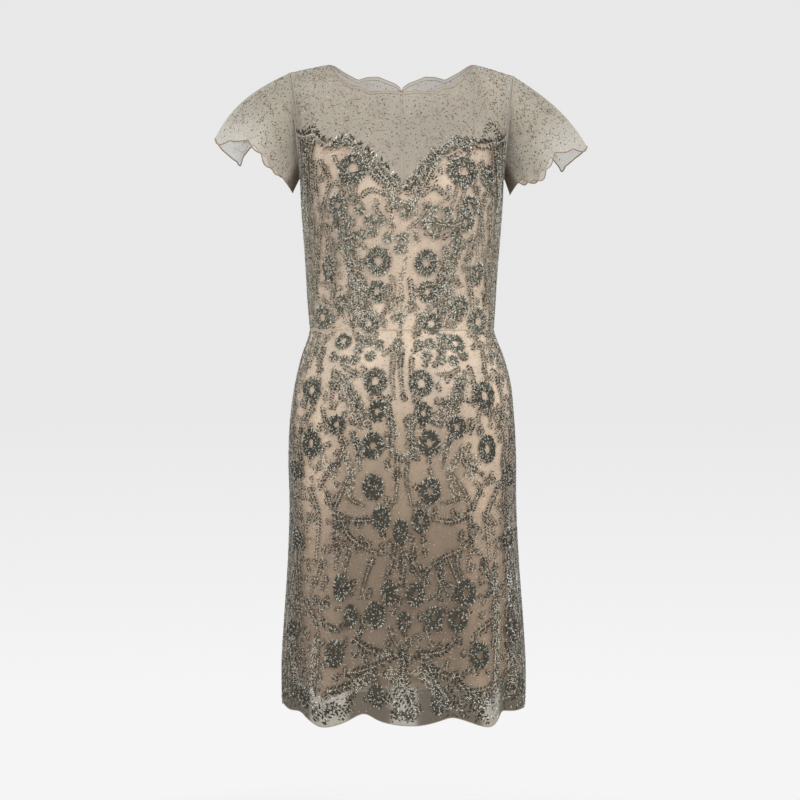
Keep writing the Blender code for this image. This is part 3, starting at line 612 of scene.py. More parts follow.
# Studio: floor, glow for light that doesn't reach the camera, backdrop from low to high, and area lights
FLOOR_Z = -1.30
FLOOR_RADIUS = 0.95
FLOOR_CORNERS = 64
STUDIO_GLOW = 0.66
BACKDROP = (-0.22, -0.06, 0.914, 0.812)
LIGHTS = (
    ("key", (1.5, -2.3, 1.3), (0.0, 0.0, -0.4), 1.3, 62.0),
    ("fill", (-2.0, -2.0, 0.2), (0.0, 0.0, -0.5), 1.8, 26.0),
    ("back", (-1.7, 2.5, 1.1), (0.0, 0.0, -0.5), 1.8, 26.0),
)

# Camera: place, tilt down in degrees, lens in millimetres, and shifts of the picture
CAMERA_PLACE = (0.0, -2.5, -0.35)
CAMERA_TILT = 1.55
CAMERA_LENS = 77.05
CAMERA_SHIFT = (-0.0019, -0.060)


def ease(share):
    """A share held between 0 and 1, with soft ends: 3s^2 - 2s^3."""
    share = np.clip(share, 0.0, 1.0)
    return share * share * (3.0 - 2.0 * share)


def lengths(vectors):
    """The length of each vector of an array."""
    return np.linalg.norm(vectors, axis=-1)


def unit(vectors):
    """The vectors of an array at length 1."""
    return vectors / np.maximum(np.linalg.norm(vectors, axis=-1, keepdims=True), 1e-12)


def smooth_through(knots, values, at):
    """A cubic through the values at the knots, whose slope at a knot is that of its neighbours."""
    knots = np.asarray(knots, float)
    values = np.asarray(values, float)
    slopes = np.gradient(values, knots, axis=0)
    at = np.clip(at, knots[0], knots[-1])
    index = np.clip(np.searchsorted(knots, at, side="right") - 1, 0, len(knots) - 2)
    step = (knots[index + 1] - knots[index])[..., None]
    share = (at - knots[index])[..., None] / step
    wide = values.reshape(len(knots), -1)
    slopes = slopes.reshape(len(knots), -1)
    result = (
        (2 * share**3 - 3 * share**2 + 1) * wide[index]
        + (share**3 - 2 * share**2 + share) * step * slopes[index]
        + (3 * share**2 - 2 * share**3) * wide[index + 1]
        + (share**3 - share**2) * step * slopes[index + 1]
    )
    return result.reshape(np.shape(at) + values.shape[1:])


def facing(side):
    """The sign of Y on a side of the dress: the front faces -Y."""
    return -1.0 if side == "front" else 1.0


def ring_value(field, z):
    """One field of the level rings at the heights z, by the smooth cubic."""
    values = BODY_RINGS[:, RING_FIELDS[field]]
    return smooth_through(BODY_RINGS[:, 0], values[:, None], z)[..., 0]


def body_point(side, u, z):
    """The body's outer surface: a squared ellipse at each height.

    x = half * |sin a|^p and y = depth * cos(a)^p with a = 90 u degrees; in front, two bell-shaped cups
    are added to the depth.
    """
    angle = u * math.pi / 2
    across = np.sign(angle) * np.abs(np.sin(angle)) ** RING_POWER
    forward = np.clip(np.cos(angle), 0.0, 1.0) ** RING_POWER
    x = ring_value("half", z) * across
    depth = ring_value(side, z) * forward
    if side == "front":
        away = (np.abs(x) - CUP_X) / CUP_WIDTH
        height = (z - CUP_Z) / CUP_HEIGHT
        depth = depth + CUP_REACH * np.exp(-(away**2) - height**2) * ease(forward * 3.0)
    return np.stack([x + ring_value("lean", z), facing(side) * depth, z + 0.0 * x], axis=-1)


def yoke_point(side, u, rise):
    """Above the chest: rise 0 is the chest ring, rise 1 is the neckline and the shoulder seam.

    Points run from the one to the other, straight at the centre and rounded over towards the shoulders.
    """
    chest = body_point(side, u, np.full_like(u, CHEST_Z))
    size = np.abs(u)
    inner = np.clip(size / NECK_COLUMN, 0.0, 1.0)
    outer = np.clip((size - NECK_COLUMN) / (1.0 - NECK_COLUMN), 0.0, 1.0)
    x_top = np.sign(u) * (NECK_HALF * inner + (TIP_HALF - NECK_HALF) * outer)
    edge = np.array(NECKLINES[side])
    z_neck = np.interp(np.abs(x_top), edge[:, 0], edge[:, 1])
    drop = np.where(u < 0, TIP_DROP["left"], TIP_DROP["right"])
    z_top = np.where(size > NECK_COLUMN, -drop * outer, z_neck)
    y_top = facing(side) * NECK_DEPTH[side] * np.cos(inner * math.pi / 2)
    round_share = ease((size - 0.40) / 0.35)
    up = (1 - round_share) * rise + round_share * math.sin(rise * math.pi / 2)
    back = (1 - round_share) * (1 - rise**1.15) + round_share * math.cos(rise * math.pi / 2)
    x = chest[:, 0] * (1 - rise) + x_top * rise
    y = y_top + (chest[:, 1] - y_top) * back
    z = CHEST_Z + (z_top - CHEST_Z) * up
    return np.stack([x, y, z], axis=-1)


def bodice_rows(side, u, heights):
    """Rows of the bodice: the smooth cubic through body rings and yoke rows, with the armhole's scoop."""
    levels = [z for z in BODY_RINGS[:, 0] if WAIST_Z <= z < CHEST_Z]
    rises = (0.0, 0.25, 0.5, 0.75, 0.9, 1.0)
    knots = levels + [CHEST_Z * (1 - rise) for rise in rises]
    rings = [body_point(side, u, np.full_like(u, z)) for z in levels]
    yokes = [yoke_point(side, u, rise) for rise in rises]
    rows = smooth_through(knots, np.array(rings + yokes), np.asarray(heights))
    rise = np.clip(1.0 - np.asarray(heights)[:, None] / CHEST_Z, 0.0, 1.0)
    scoop = ARMHOLE_SCOOP * np.sin(rise * math.pi) ** 1.3 * ease((np.abs(u) - 0.55) / 0.45)
    rows[..., 1] += scoop * facing(side)
    return rows


def flute_sum(field, side, u):
    """A field of the flutes round the skirt: a bell at each flute, none at the side seams."""
    angle = np.degrees(u * math.pi / 2)
    table = np.array(FLUTES[side])
    bells = np.exp(-(((angle[..., None] - table[:, 0]) / (0.6 * table[:, 1])) ** 2))
    return bells @ table[:, FLUTE_FIELDS[field]] * ease((1.0 - np.abs(u)) * 10.0)


def skirt_rows(side, u, heights):
    """Rows of the skirt: body rings whose lowest ones wave with the hem, pushed out by the flutes."""
    free = np.clip((HEM_FREE_Z - heights) / (HEM_FREE_Z - HEM_Z), 0.0, 1.0)[:, None]
    rows = body_point(side, u[None, :], heights[:, None] + free * flute_sum("lift", side, u))
    growth = np.clip((FLUTE_TOP_Z - rows[..., 2]) / (FLUTE_TOP_Z - HEM_Z), 0.0, 1.2) ** 1.6
    push = flute_sum("reach", side, u) * growth
    angle = u * math.pi / 2
    rows[..., 0] += push * np.sin(angle)
    rows[..., 1] += push * np.cos(angle) * facing(side)
    return rows


def grid_normals(points, closed=False):
    """Unit normals of a grid: the cross product of its row and column directions."""
    wide = np.concatenate([points[:, -1:], points, points[:, :1]], axis=1) if closed else points
    normal = np.cross(np.gradient(wide, axis=1), np.gradient(wide, axis=0))
    return unit(normal[:, 1:-1] if closed else normal)


def seam_normals(side, u, heights, points):
    """Normals out of the body; along a seam they stay in its plane, so that both cloths' walls meet."""
    normal = grid_normals(points) * -facing(side)
    normal[:, np.abs(u) > 0.9999, 1] = 0.0
    if side == "back":
        normal[:, np.abs(u) < 0.0001, 0] = 0.0
    top = np.abs(heights) < 1e-9
    shoulder = np.abs(u) > NECK_COLUMN - 0.001
    normal[np.ix_(top, shoulder, [1])] = 0.0
    return unit(normal)


def crease_push(side, u, heights):
    """How far the creases and a slight unevenness move the cloth out: a bell across each crease's line,
    which slants from its upper to its lower end and fades towards both, and three slow waves."""
    push = np.zeros((len(heights), len(u)))
    for upper, lower, top, bottom, width, depth in CREASES[side]:
        share = (top - heights) / (top - bottom)
        fade = np.sin(np.clip(share, 0.0, 1.0) * math.pi) ** 0.7
        line = upper + (lower - upper) * share
        push += depth * fade[:, None] * np.exp(-(((u[None, :] - line[:, None]) / width) ** 2))
    h = heights[:, None]
    wave = np.sin(31.0 * u + 9.0 * h) * np.sin(23.0 * h + 4.0 * u) + 0.7 * np.sin(52.0 * u - 31.0 * h)
    calm = ease((1.0 - np.abs(u)) * 8.0) * ease(-heights[:, None] / 0.05)
    return (push + 0.00035 * wave) * calm


def cloth_fields(side, u, h, points, normals):
    """A cloth: its side, columns, heights, points and normals, and its stretch along u and along h."""
    return {
        "side": side, "u": u, "h": h, "points": points, "normals": normals,
        "across": np.gradient(points, u, axis=1), "up": np.gradient(points, h, axis=0),
    }


def make_cloth(side):
    """The net of one side as a fine grid from the hem to the neckline."""
    u = np.linspace(-1.0, 1.0, NET_COLUMNS + 1)
    low = np.linspace(HEM_Z, WAIST_Z, SKIRT_ROWS + 1)
    high = np.linspace(WAIST_Z, 0.0, BODICE_ROWS + 1)[1:]
    heights = np.concatenate([low, high])
    points = np.concatenate([skirt_rows(side, u, low), bodice_rows(side, u, high)])
    normals = seam_normals(side, u, heights, points)
    points = points + normals * crease_push(side, u, heights)[..., None]
    return cloth_fields(side, u, heights, points, seam_normals(side, u, heights, points))


def cloth_at(cloth, u, h, *fields):
    """Fields of the cloth at the places (u, h), each by bilinear blending of the grid's four corners."""
    columns = cloth["u"]
    place = np.interp(u, columns, np.arange(len(columns)))
    level = np.interp(h, cloth["h"], np.arange(len(cloth["h"])))
    column = np.clip(place.astype(int), 0, len(columns) - 2)
    row = np.clip(level.astype(int), 0, len(cloth["h"]) - 2)
    right = (place - column)[..., None]
    upper = (level - row)[..., None]
    found = []
    for field in fields:
        grid = cloth[field]
        lower_row = grid[row, column] * (1 - right) + grid[row, column + 1] * right
        upper_row = grid[row + 1, column] * (1 - right) + grid[row + 1, column + 1] * right
        found.append(lower_row * (1 - upper) + upper_row * upper)
    return found


def add_object(name, data):
    """A new object in the scene's collection."""
    added = bpy.data.objects.new(name, data)
    bpy.context.scene.collection.objects.link(added)
    return added


def piece_from(name, verts, faces, material, uv=None, tone=None, shade=None, smooth=True):
    """A finished piece of the dress from arrays: its mesh, cloth coordinates, tone and shade, and body.

    The faces come in blocks, each of faces with the same number of corners.
    """
    mesh = bpy.data.meshes.new(name)
    sizes = np.repeat([block.shape[1] for block in faces], [len(block) for block in faces])
    loops = np.concatenate([block.ravel() for block in faces])
    mesh.vertices.add(len(verts))
    mesh.vertices.foreach_set("co", np.asarray(verts, np.float32).ravel())
    mesh.loops.add(len(loops))
    mesh.loops.foreach_set("vertex_index", loops.astype(np.int32))
    mesh.polygons.add(len(sizes))
    starts = np.concatenate([[0], np.cumsum(sizes)[:-1]])
    mesh.polygons.foreach_set("loop_start", starts.astype(np.int32))
    mesh.update(calc_edges=True)
    mesh.validate()
    if uv is not None:
        layer = mesh.uv_layers.new(name="cloth")
        layer.data.foreach_set("uv", np.asarray(uv, np.float32)[loops].ravel())
    for field, values in (("tone", tone), ("shade", shade)):
        if values is not None:
            layer = mesh.attributes.new(field, "FLOAT", "POINT")
            layer.data.foreach_set("value", np.asarray(values, np.float32))
    if smooth:
        mesh.shade_smooth()
        mesh.set_sharp_from_angle(angle=math.radians(50.0))
    mesh.materials.append(material)
    piece = add_object(name, mesh)
    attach(piece, "dress")
    return piece


def thread_ways(points, middle, base_row):
    """Lengths along the cloth at each grid point: across from a middle column, and up from a base row."""
    across = np.cumsum(lengths(np.diff(points, axis=1)), axis=1)
    across = np.concatenate([np.zeros((len(points), 1)), across], axis=1)
    up = np.cumsum(lengths(np.diff(points, axis=0)), axis=0)
    up = np.concatenate([np.zeros((1, points.shape[1])), up], axis=0)
    return np.stack([across - across[:, middle : middle + 1], up - up[base_row]], axis=-1)


def both_faces(field):
    """A field of the grid for the outer and the inner face of a wall."""
    flat = field.reshape(len(field) * field.shape[1], -1)
    return np.concatenate([flat, flat]).squeeze()


def cloth_shell(points, normals, thick, closed=False):
    """A thin closed wall: the grid is its outer face, a copy moved in by the thickness is its inner face,
    and a rim joins them."""
    rows, columns = points.shape[:2]
    count = rows * columns
    index = np.arange(count).reshape(rows, columns)
    if closed:
        index = np.concatenate([index, index[:, :1]], axis=1)
    outer = np.stack([index[:-1, :-1], index[:-1, 1:], index[1:, 1:], index[1:, :-1]], axis=-1)
    quads = [outer.reshape(-1, 4), outer.reshape(-1, 4)[:, ::-1] + count]
    edges = [
        (index[0, 1:], index[0, :-1]),
        (index[-1, :-1], index[-1, 1:]),
    ]
    if not closed:
        edges += [(index[:-1, 0], index[1:, 0]), (index[1:, -1], index[:-1, -1])]
    for first, second in edges:
        quads.append(np.stack([first, second, second + count, first + count], axis=-1))
    faces = np.concatenate(quads)
    corners = points.reshape(-1, 3)[outer.reshape(-1, 4)[len(outer) // 2]]
    facing_out = np.cross(corners[1] - corners[0], corners[3] - corners[0])
    middle = normals.reshape(-1, 3)[outer.reshape(-1, 4)[len(outer) // 2, 0]]
    if facing_out @ middle < 0:
        faces = faces[:, ::-1]
    verts = np.concatenate([points.reshape(-1, 3), (points - normals * thick).reshape(-1, 3)])
    return verts, faces


def off_the_seams(side, which, points):
    """Moves a panel by half the seam gap off the side, shoulder and centre-back seams."""
    points = points.copy()
    points[..., 1] += SEAM_GAP / 2 * facing(side)
    if which:
        points[..., 0] += SEAM_GAP / 2 * (-1.0 if which == "_left" else 1.0)
    return points


def halves(side):
    """The panels of one side with their range of columns: a whole front, or two halves of the back."""
    if side == "front":
        return {"": (-1.0, 1.0)}
    return {"_left": (-1.0, 0.0), "_right": (0.0, 1.0)}


def slip_top(side, u):
    """The height of the slip's top edge at the columns u, by the smooth cubic."""
    edge = np.array(SLIP_TOPS[side])
    return smooth_through(edge[:, 0], edge[:, 1:], np.abs(u))[:, 0]


def net_cover(side, kind, u, z):
    """Two fields of a panel of net, from 0 to 1: how sheer it is past the slip, and how far it lies in two
    layers and is darkened by painted shade.

    It turns sheer within a few millimetres of the slip's edge. The hem is in two layers but for its windows,
    and the sides of the skirt count as folded, but for bell-shaped gaps. The second field makes the net
    denser and darkens its colour as painted shade, deepest in the hem's dark panels and at the lower sides of
    the skirt.
    """
    if kind == "bodice":
        sheer = ease((z - slip_top(side, u) + 0.004) / 0.008)
        if side == "back":
            sheer = sheer * (1.0 - BACK_NECK_CLEAR * ease((z + 0.060) / 0.03))
        return sheer, 0.0 * sheer
    edge = SLIP_HEM_Z + flute_sum("slip_lift", side, u)
    sheer = HEM_COVER_AND_SHADE * ease((edge - z + 0.008) / 0.007)
    single = sum(ease((u - low) / 0.03) * ease((high - u) / 0.03) for low, high in HEM_WINDOWS)
    # Outside its windows the hem's net is denser and darkened by painted shade
    doubled_and_shaded = (1.0 - (1.0 - WINDOW_COVER_AND_SHADE) * single) * sheer
    # The lower sides of the skirt: more cover, and darker by painted shade
    folded = ease((-0.49 - z) / 0.19) * ease((np.abs(u) - 0.66) / 0.17)
    gaps = 0.0
    for sign, middle, tall, depth in SIDE_GAPS:
        gaps = gaps + (u * sign > 0) * depth * np.exp(-(((z - middle) / tall) ** 2))
    folded = folded * (1.0 - gaps)
    cover = np.where(u < 0, *SIDE_COVER)
    return np.maximum(sheer, cover * folded), np.maximum(doubled_and_shaded, SIDE_SHADE * folded)


def net_panel(cloth, kind, which, span, material):
    """A bodice or skirt panel of the net: the part of the side's grid within its columns and heights."""
    side = cloth["side"]
    columns = (cloth["u"] >= span[0] - 1e-6) & (cloth["u"] <= span[1] + 1e-6)
    high = cloth["h"] >= WAIST_Z - 1e-9
    rows = high if kind == "bodice" else cloth["h"] <= WAIST_Z + 1e-9
    points = cloth["points"][np.ix_(rows, columns)]
    normals = cloth["normals"][np.ix_(rows, columns)]
    middle = int(np.argmin(np.abs(cloth["u"][columns])))
    ways = thread_ways(points, middle, 0 if kind == "bodice" else -1)
    placed = off_the_seams(side, which, points)
    placed[0 if kind == "bodice" else -1, :, 2] += SEAM_GAP / 2 * (1.0 if kind == "bodice" else -1.0)
    verts, faces = cloth_shell(placed, normals, NET_THICK)
    sheer, doubled_and_shaded = net_cover(side, kind, cloth["u"][columns], points[..., 2])
    cad = f"{kind}_{side}{which}"
    piece = piece_from(
        f"net_{cad}", verts, [faces], material,
        uv=both_faces(ways), tone=both_faces(sheer), shade=both_faces(doubled_and_shaded),
    )
    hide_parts(cad)


def slip_fall(u, z):
    """How far the slip's sides move towards the middle, along X: nothing above, most at the side seams."""
    most = np.where(u < 0, -SLIP_FALL["left"], SLIP_FALL["right"])
    down = ease((SLIP_FALL_TOP - z) / (SLIP_FALL_TOP - SLIP_FALL_LOW))
    return most * ease((np.abs(u) - 0.5) / 0.5) * down


def slip_grid(cloth, kind, span):
    """A panel of the slip: the net's surface moved in, up to the slip's top edge or down to its hem."""
    side = cloth["side"]
    count = SLIP_COLUMNS if side == "front" else SLIP_COLUMNS // 2
    u = np.linspace(span[0], span[1], count + 1)
    if kind == "bodice":
        top = slip_top(side, u)
        levels = cloth["h"][cloth["h"] >= WAIST_Z]
        heights = cloth_at(cloth, u[None, :], levels[:, None] + 0 * u, "points")[0][..., 2]
        goals = WAIST_Z + SEAM_GAP / 2 + np.linspace(0, 1, SLIP_ROWS["bodice"])[:, None] * (top - WAIST_Z)
        h = np.stack([np.interp(goals[:, i], heights[:, i], levels) for i in range(len(u))], axis=1)
        inset = SLIP_INSET_WAIST + (SLIP_INSET_BUST - SLIP_INSET_WAIST) * ease((h - WAIST_Z) / 0.09)
    else:
        hem = SLIP_HEM_Z + flute_sum("slip_lift", side, u)
        top = WAIST_Z - SEAM_GAP / 2
        h = hem + np.linspace(0, 1, SLIP_ROWS["skirt"])[:, None] * (top - hem)
        inset = SLIP_INSET_WAIST + (SLIP_INSET_HEM - SLIP_INSET_WAIST) * ease(
            (WAIST_Z - h) / (WAIST_Z - SLIP_HEM_Z)
        )
    points, normals = cloth_at(cloth, u[None, :] + 0 * h, h, "points", "normals")
    normals = unit(normals)
    points = points - normals * inset[..., None]
    points[..., 0] -= slip_fall(u[None, :], h)
    return points, normals, u


def slip_panel(cloth, kind, which, span, material):
    """A thin satin wall on the slip's grid."""
    side = cloth["side"]
    points, normals, u = slip_grid(cloth, kind, span)
    middle = int(np.argmin(np.abs(u)))
    ways = thread_ways(points, middle, 0 if kind == "bodice" else -1)
    placed = off_the_seams(side, which, points)
    verts, faces = cloth_shell(placed, normals, SATIN_THICK)
    panel = f"{kind}_{side}{which}"
    piece = piece_from(f"satin_slip_{panel}", verts, [faces], material, uv=both_faces(ways))
    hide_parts(f"slip_{panel}")


def sleeve_hem(hand, side, share):
    """The sleeve's hem on one side, without its lobes: reach from the centre, depth and height."""
    rows = np.array(SLEEVE_HEMS[f"{hand}_{side}"])
    return smooth_through(rows[:, 0], rows[:, 1:], share)


def armhole(hand, side, share):
    """The armhole's edge on one panel: share 0 is the shoulder tip, share 1 the underarm."""
    u = np.array([-1.0 if hand == "left" else 1.0])
    return bodice_rows(side, u, CHEST_Z * np.asarray(share))[:, 0]


def sleeve_grid(hand):
    """Rows of a cap sleeve from the armhole seam to its lobed hem, round the whole armhole.

    Each column is a line from the armhole to the hem, lifted into a crown that fades to the underarm.
    """
    half = SLEEVE_COLUMNS // 2
    share = np.linspace(0.0, 1.0, half + 1)
    out = -1.0 if hand == "left" else 1.0
    starts, ends, shares = [], [], []
    for side, order in (("front", slice(None)), ("back", slice(-2, 0, -1))):
        start = armhole(hand, side, share)
        end = sleeve_hem(hand, side, share)
        end[:, 0] *= out
        end[:, 1] *= facing(side)
        start[:, 1] += SEAM_GAP / 2 * facing(side) * np.sin(share * math.pi)
        room = SLEEVE_ROOM_UNDERARM - SLEEVE_ROOM
        start[:, 0] += out * (SLEEVE_ROOM + room * ease(share * 2.0))
        starts.append(start[order])
        ends.append(end[order])
        shares.append(share[order])
    start = np.concatenate(starts)
    end = np.concatenate(ends)
    share = np.concatenate(shares)[:, None]
    ruling = end - start
    length = np.linalg.norm(ruling, axis=1, keepdims=True)
    lobes = SLEEVE_LOBE_DEPTH * (np.abs(np.sin(share * math.pi * SLEEVE_LOBES)) - 0.5)
    end = end + ruling / length * lobes * np.clip(length / 0.08, 0.0, 1.0)
    lift = np.array([SLEEVE_LIFT[0] * out, 0.0, SLEEVE_LIFT[1]])
    crown = SLEEVE_CROWN[hand] * (1 - share) ** 1.2
    spread = np.zeros_like(start)
    spread[:, 1] = np.sign(end[:, 1]) * SLEEVE_FULLNESS * np.sin(share[:, 0] * math.pi)
    step = np.linspace(0.0, 1.0, SLEEVE_ROWS + 1)[:, None, None]
    swell = 4 * step * (1 - step) * (0.7 + 0.6 * step)
    return start + (end - start) * step + (lift * crown + spread) * swell


def make_sleeve(hand, material):
    """A cap sleeve as one thin closed band of net, denser at the underarm, whose colour there is darkened as
    painted shade, and sheerer and paler at the outer lower edge as painted light; returns the sleeve's cloth.
    """
    points = sleeve_grid(hand)
    normals = grid_normals(points, closed=True)
    normals = normals * np.sign(normals[:, 0, 2].sum())
    ways = thread_ways(np.concatenate([points, points[:, :1]], axis=1), 0, 0)[:, :-1]
    verts, faces = cloth_shell(points, normals, NET_THICK, closed=True)
    low = 1.0 - np.abs(np.linspace(-1.0, 1.0, SLEEVE_COLUMNS, endpoint=False))
    # Tone and cover: the net's dark brown at the underarm is painted shade, its pale colour at the outer
    # lower edge painted light
    outer = ease((np.linspace(0.0, 1.0, SLEEVE_ROWS + 1)[:, None] - 0.45) / 0.5) * ease((0.6 - low) / 0.3)
    cover_and_painted_shade = SLEEVE_COVER * (1.0 - outer) + (1.0 - SLEEVE_COVER) * ease((low - 0.86) / 0.09)
    piece = piece_from(
        f"net_sleeve_{hand}", verts, [faces], material,
        uv=both_faces(ways), tone=both_faces(cover_and_painted_shade),
    )
    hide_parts(f"sleeve_{hand}")
    points = np.concatenate([points, points[:, :1]], axis=1)
    normals = np.concatenate([normals, normals[:, :1]], axis=1)
    u = np.linspace(0.0, 2.0, SLEEVE_COLUMNS + 1)
    h = np.linspace(0.0, 1.0, SLEEVE_ROWS + 1)
    return cloth_fields(hand, u, h, points, normals)


def place_off(cloth, u, h, right, above):
    """The places that lie the given millimetres to the right of and above the places (u, h)."""
    across, up = cloth_at(cloth, u, h, "across", "up")
    return u + right / 1000.0 / lengths(across), h + above / 1000.0 / lengths(up)


def surface_frame(cloth, u, h):
    """Points of the cloth with three unit directions: along u, along h, and out of the cloth."""
    points, normals, across, up = cloth_at(cloth, u, h, "points", "normals", "across", "up")
    normals = unit(normals)
    along = unit(across - (across * normals).sum(axis=-1, keepdims=True) * normals)
    upward = np.cross(normals, along)
    upward = upward * np.sign((upward * up).sum(axis=-1, keepdims=True))
    return points, along, upward, normals


def lay_beads(name, cloth, rows, material, corners=BEAD_KITE):
    """Beads as one mesh of low pyramids on the cloth.

    A row is (u, h, turn, length, width, height, tone), the sizes in millimetres. The base corners are up to
    half the length and half the width away from the place, and the top is the height above it.
    """
    u, h, turn, length, width, height, tone = rows.T
    points, along, upward, normals = surface_frame(cloth, u, h)
    direction = np.cos(turn)[:, None] * along + np.sin(turn)[:, None] * upward
    beside = np.cross(normals, direction)
    centre = (points + normals * BEAD_LIFT)[:, None]
    long_way = (direction * length[:, None] / 2000.0)[:, None]
    wide_way = (beside * width[:, None] / 2000.0)[:, None]
    high_way = (normals * height[:, None] / 1000.0)[:, None]
    top = len(corners) - 1
    shape = np.array(corners, float)[None, :, :, None]
    verts = centre + shape[:, :, 0] * long_way + shape[:, :, 1] * wide_way + shape[:, :, 2] * high_way
    start = np.arange(len(rows))[:, None, None] * (top + 1)
    rim = np.arange(top)
    sides = np.stack([rim, (rim + 1) % top, np.full(top, top)], axis=-1)
    base = rim[None, ::-1]
    return piece_from(
        name, verts.reshape(-1, 3), [(sides + start).reshape(-1, 3), (base + start).reshape(-1, top)],
        material, tone=np.repeat(tone, top + 1), smooth=False,
    )


def bead_tones(rng, count, dark, bright):
    """Tones from 0 to 1: a share of dark beads, a share of bright ones, and the rest in between."""
    pick = rng.random(count)
    tone = rng.uniform(*MIDDLE_TONES, count)
    tone = np.where(pick < dark, rng.uniform(*DARK_TONES, count), tone)
    return np.where(pick > 1.0 - bright, rng.uniform(*BRIGHT_GLINT_TONES, count), tone)


def bead_table(u, h, turn, length, width, height, tone):
    """Rows for lay_beads from columns, of which some may be single numbers."""
    columns = np.broadcast_arrays(u, h, turn, length, width, height, tone)
    return np.stack(columns, axis=-1)


def flower_beads(cloth, flowers, inner, step, rng):
    """Rings of beads round each flower's centre, all pointing outwards, with longer ones at its edge.

    The flowers of the lower skirt are darker, and those on its left have a filled middle.
    """
    rows = []
    for u, h, width, tall in flowers:
        size = (width + tall) / 4.0
        hole = inner * (0.35 if u < 0.0 and h < -0.55 else 1.0)
        paler = float(ease((h + 0.52) / 0.12))
        for ring in np.arange(max(hole * size, 1.0), size + 0.3, step):
            count = max(int(2 * math.pi * ring / step), 4)
            angle = (np.arange(count) + rng.random()) / count * 2 * math.pi + rng.normal(0.0, 0.05, count)
            share = ring / size + rng.normal(0.0, 0.02, count)
            right = np.cos(angle) * share * width / 2.0
            above = np.sin(angle) * share * tall / 2.0
            turn = np.arctan2(above, right) + rng.normal(0.0, 0.25, count)
            edge = ring > size - step
            length = rng.uniform(0.85, 1.25, count) * (2.5 if edge else 1.7) * step
            dark, bright = MIXES["flower edge" if edge else "flower"]
            tone = bead_tones(rng, count, dark - 0.26 * paler, bright + 0.16 * paler)
            at_u, at_h = place_off(cloth, np.full(count, u), np.full(count, h), right, above)
            rows.append(bead_table(at_u, at_h, turn, length, 0.92 * step, 0.9, tone))
    return np.concatenate(rows)


def stem_curve(cloth, places):
    """Runs a smooth curve through places on the cloth; returns its length in millimetres and a reader."""
    places = np.array(places, float)
    across, up = cloth_at(cloth, places[:, 0], places[:, 1], "across", "up")
    scale = 1000.0 * np.stack([lengths(across), lengths(up)], axis=-1)
    steps = np.diff(places, axis=0) * (scale[1:] + scale[:-1]) / 2.0
    knots = np.concatenate([[0.0], np.cumsum(lengths(steps))])
    mean = scale.mean(axis=0)

    def read(at):
        """Columns, heights and headings at lengths along the stem."""
        place = smooth_through(knots, places, at)
        ahead = (smooth_through(knots, places, at + 1.0) - smooth_through(knots, places, at - 1.0)) * mean
        return place[:, 0], place[:, 1], np.arctan2(ahead[:, 1], ahead[:, 0])

    return knots[-1], read


def sprig_beads(cloth, sprigs, rng, taper=0.4):
    """Dark leaves on both sides of a stem of small bright beads; the leaves shorten towards the tip."""
    rows = []
    for leaf, *places in sprigs:
        total, read = stem_curve(cloth, places)
        u, h, turn = read(np.arange(0.5, total, STEM_GAP))
        rows.append(bead_table(u, h, turn, *STEM_BEAD, bead_tones(rng, len(u), *MIXES["stem"])))
        for sign in (-1.0, 1.0):
            at = np.arange(1.5 + 0.2 * leaf * (sign + 1.0), total + 0.5, LEAF_GAP * leaf)
            u, h, turn = read(at)
            size = LEAF_LENGTH * leaf * (1.0 - taper * (at / total) ** 2) * rng.uniform(0.92, 1.08, len(at))
            turn = turn + sign * math.radians(LEAF_LEAN) + rng.normal(0.0, 0.07, len(at))
            out = size / 2.0 + 0.5
            u, h = place_off(cloth, u, h, np.cos(turn) * out, np.sin(turn) * out)
            tone = bead_tones(rng, len(u), *MIXES["leaf"])
            rows.append(bead_table(u, h, turn, size, LEAF_WIDTH * size, 0.6, tone))
        end_u, end_h, end_turn = read(np.array([total]))
        rows.append(bead_table(end_u, end_h, end_turn, 0.7 * leaf, 0.3 * leaf, 0.7, 0.1))
    return np.concatenate(rows)


def clear_of_flowers(cloth, u, h, flowers, room):
    """Whether each place on the cloth lies outside every flower, with some room in millimetres."""
    across = lengths(cloth_at(cloth, u, h, "across")[0]) * 1000.0
    clear = np.ones(len(u), bool)
    for mid_u, mid_h, width, tall in flowers:
        right = (u - mid_u) * across / (width / 2 + room)
        above = (h - mid_h) * 1000.0 / (tall / 2 + room)
        clear &= np.hypot(right, above) > 1.0
    return clear


def off_patches(u, h, patches):
    """Whether each place lies outside all patches, which are ellipses in columns and heights."""
    off = True
    for mid_u, mid_h, wide, tall in patches:
        off = off & (np.hypot((u - mid_u) / wide, (h - mid_h) / tall) > 1.0)
    return off


def fern_dots(cloth, sprigs, flowers, gap, rng):
    """Tiny bright and dark dots beside the stems, a little past the leaves' tips, but off the flowers."""
    rows = []
    for leaf, *places in sprigs:
        total, read = stem_curve(cloth, places)
        u, h, turn = read(np.arange(0.5, total, gap))
        count = len(u)
        side = turn + math.pi / 2.0
        off = rng.uniform(-FERN_REACH, FERN_REACH, count) * leaf
        u, h = place_off(cloth, u, h, np.cos(side) * off, np.sin(side) * off)
        turn = rng.uniform(0.0, math.pi, count)
        rows.append(bead_table(u, h, turn, *FERN_DOT, bead_tones(rng, count, *MIXES["fern dots"])))
    rows = np.concatenate(rows)
    return rows[clear_of_flowers(cloth, rows[:, 0], rows[:, 1], flowers, FERN_DOT_ROOM)]


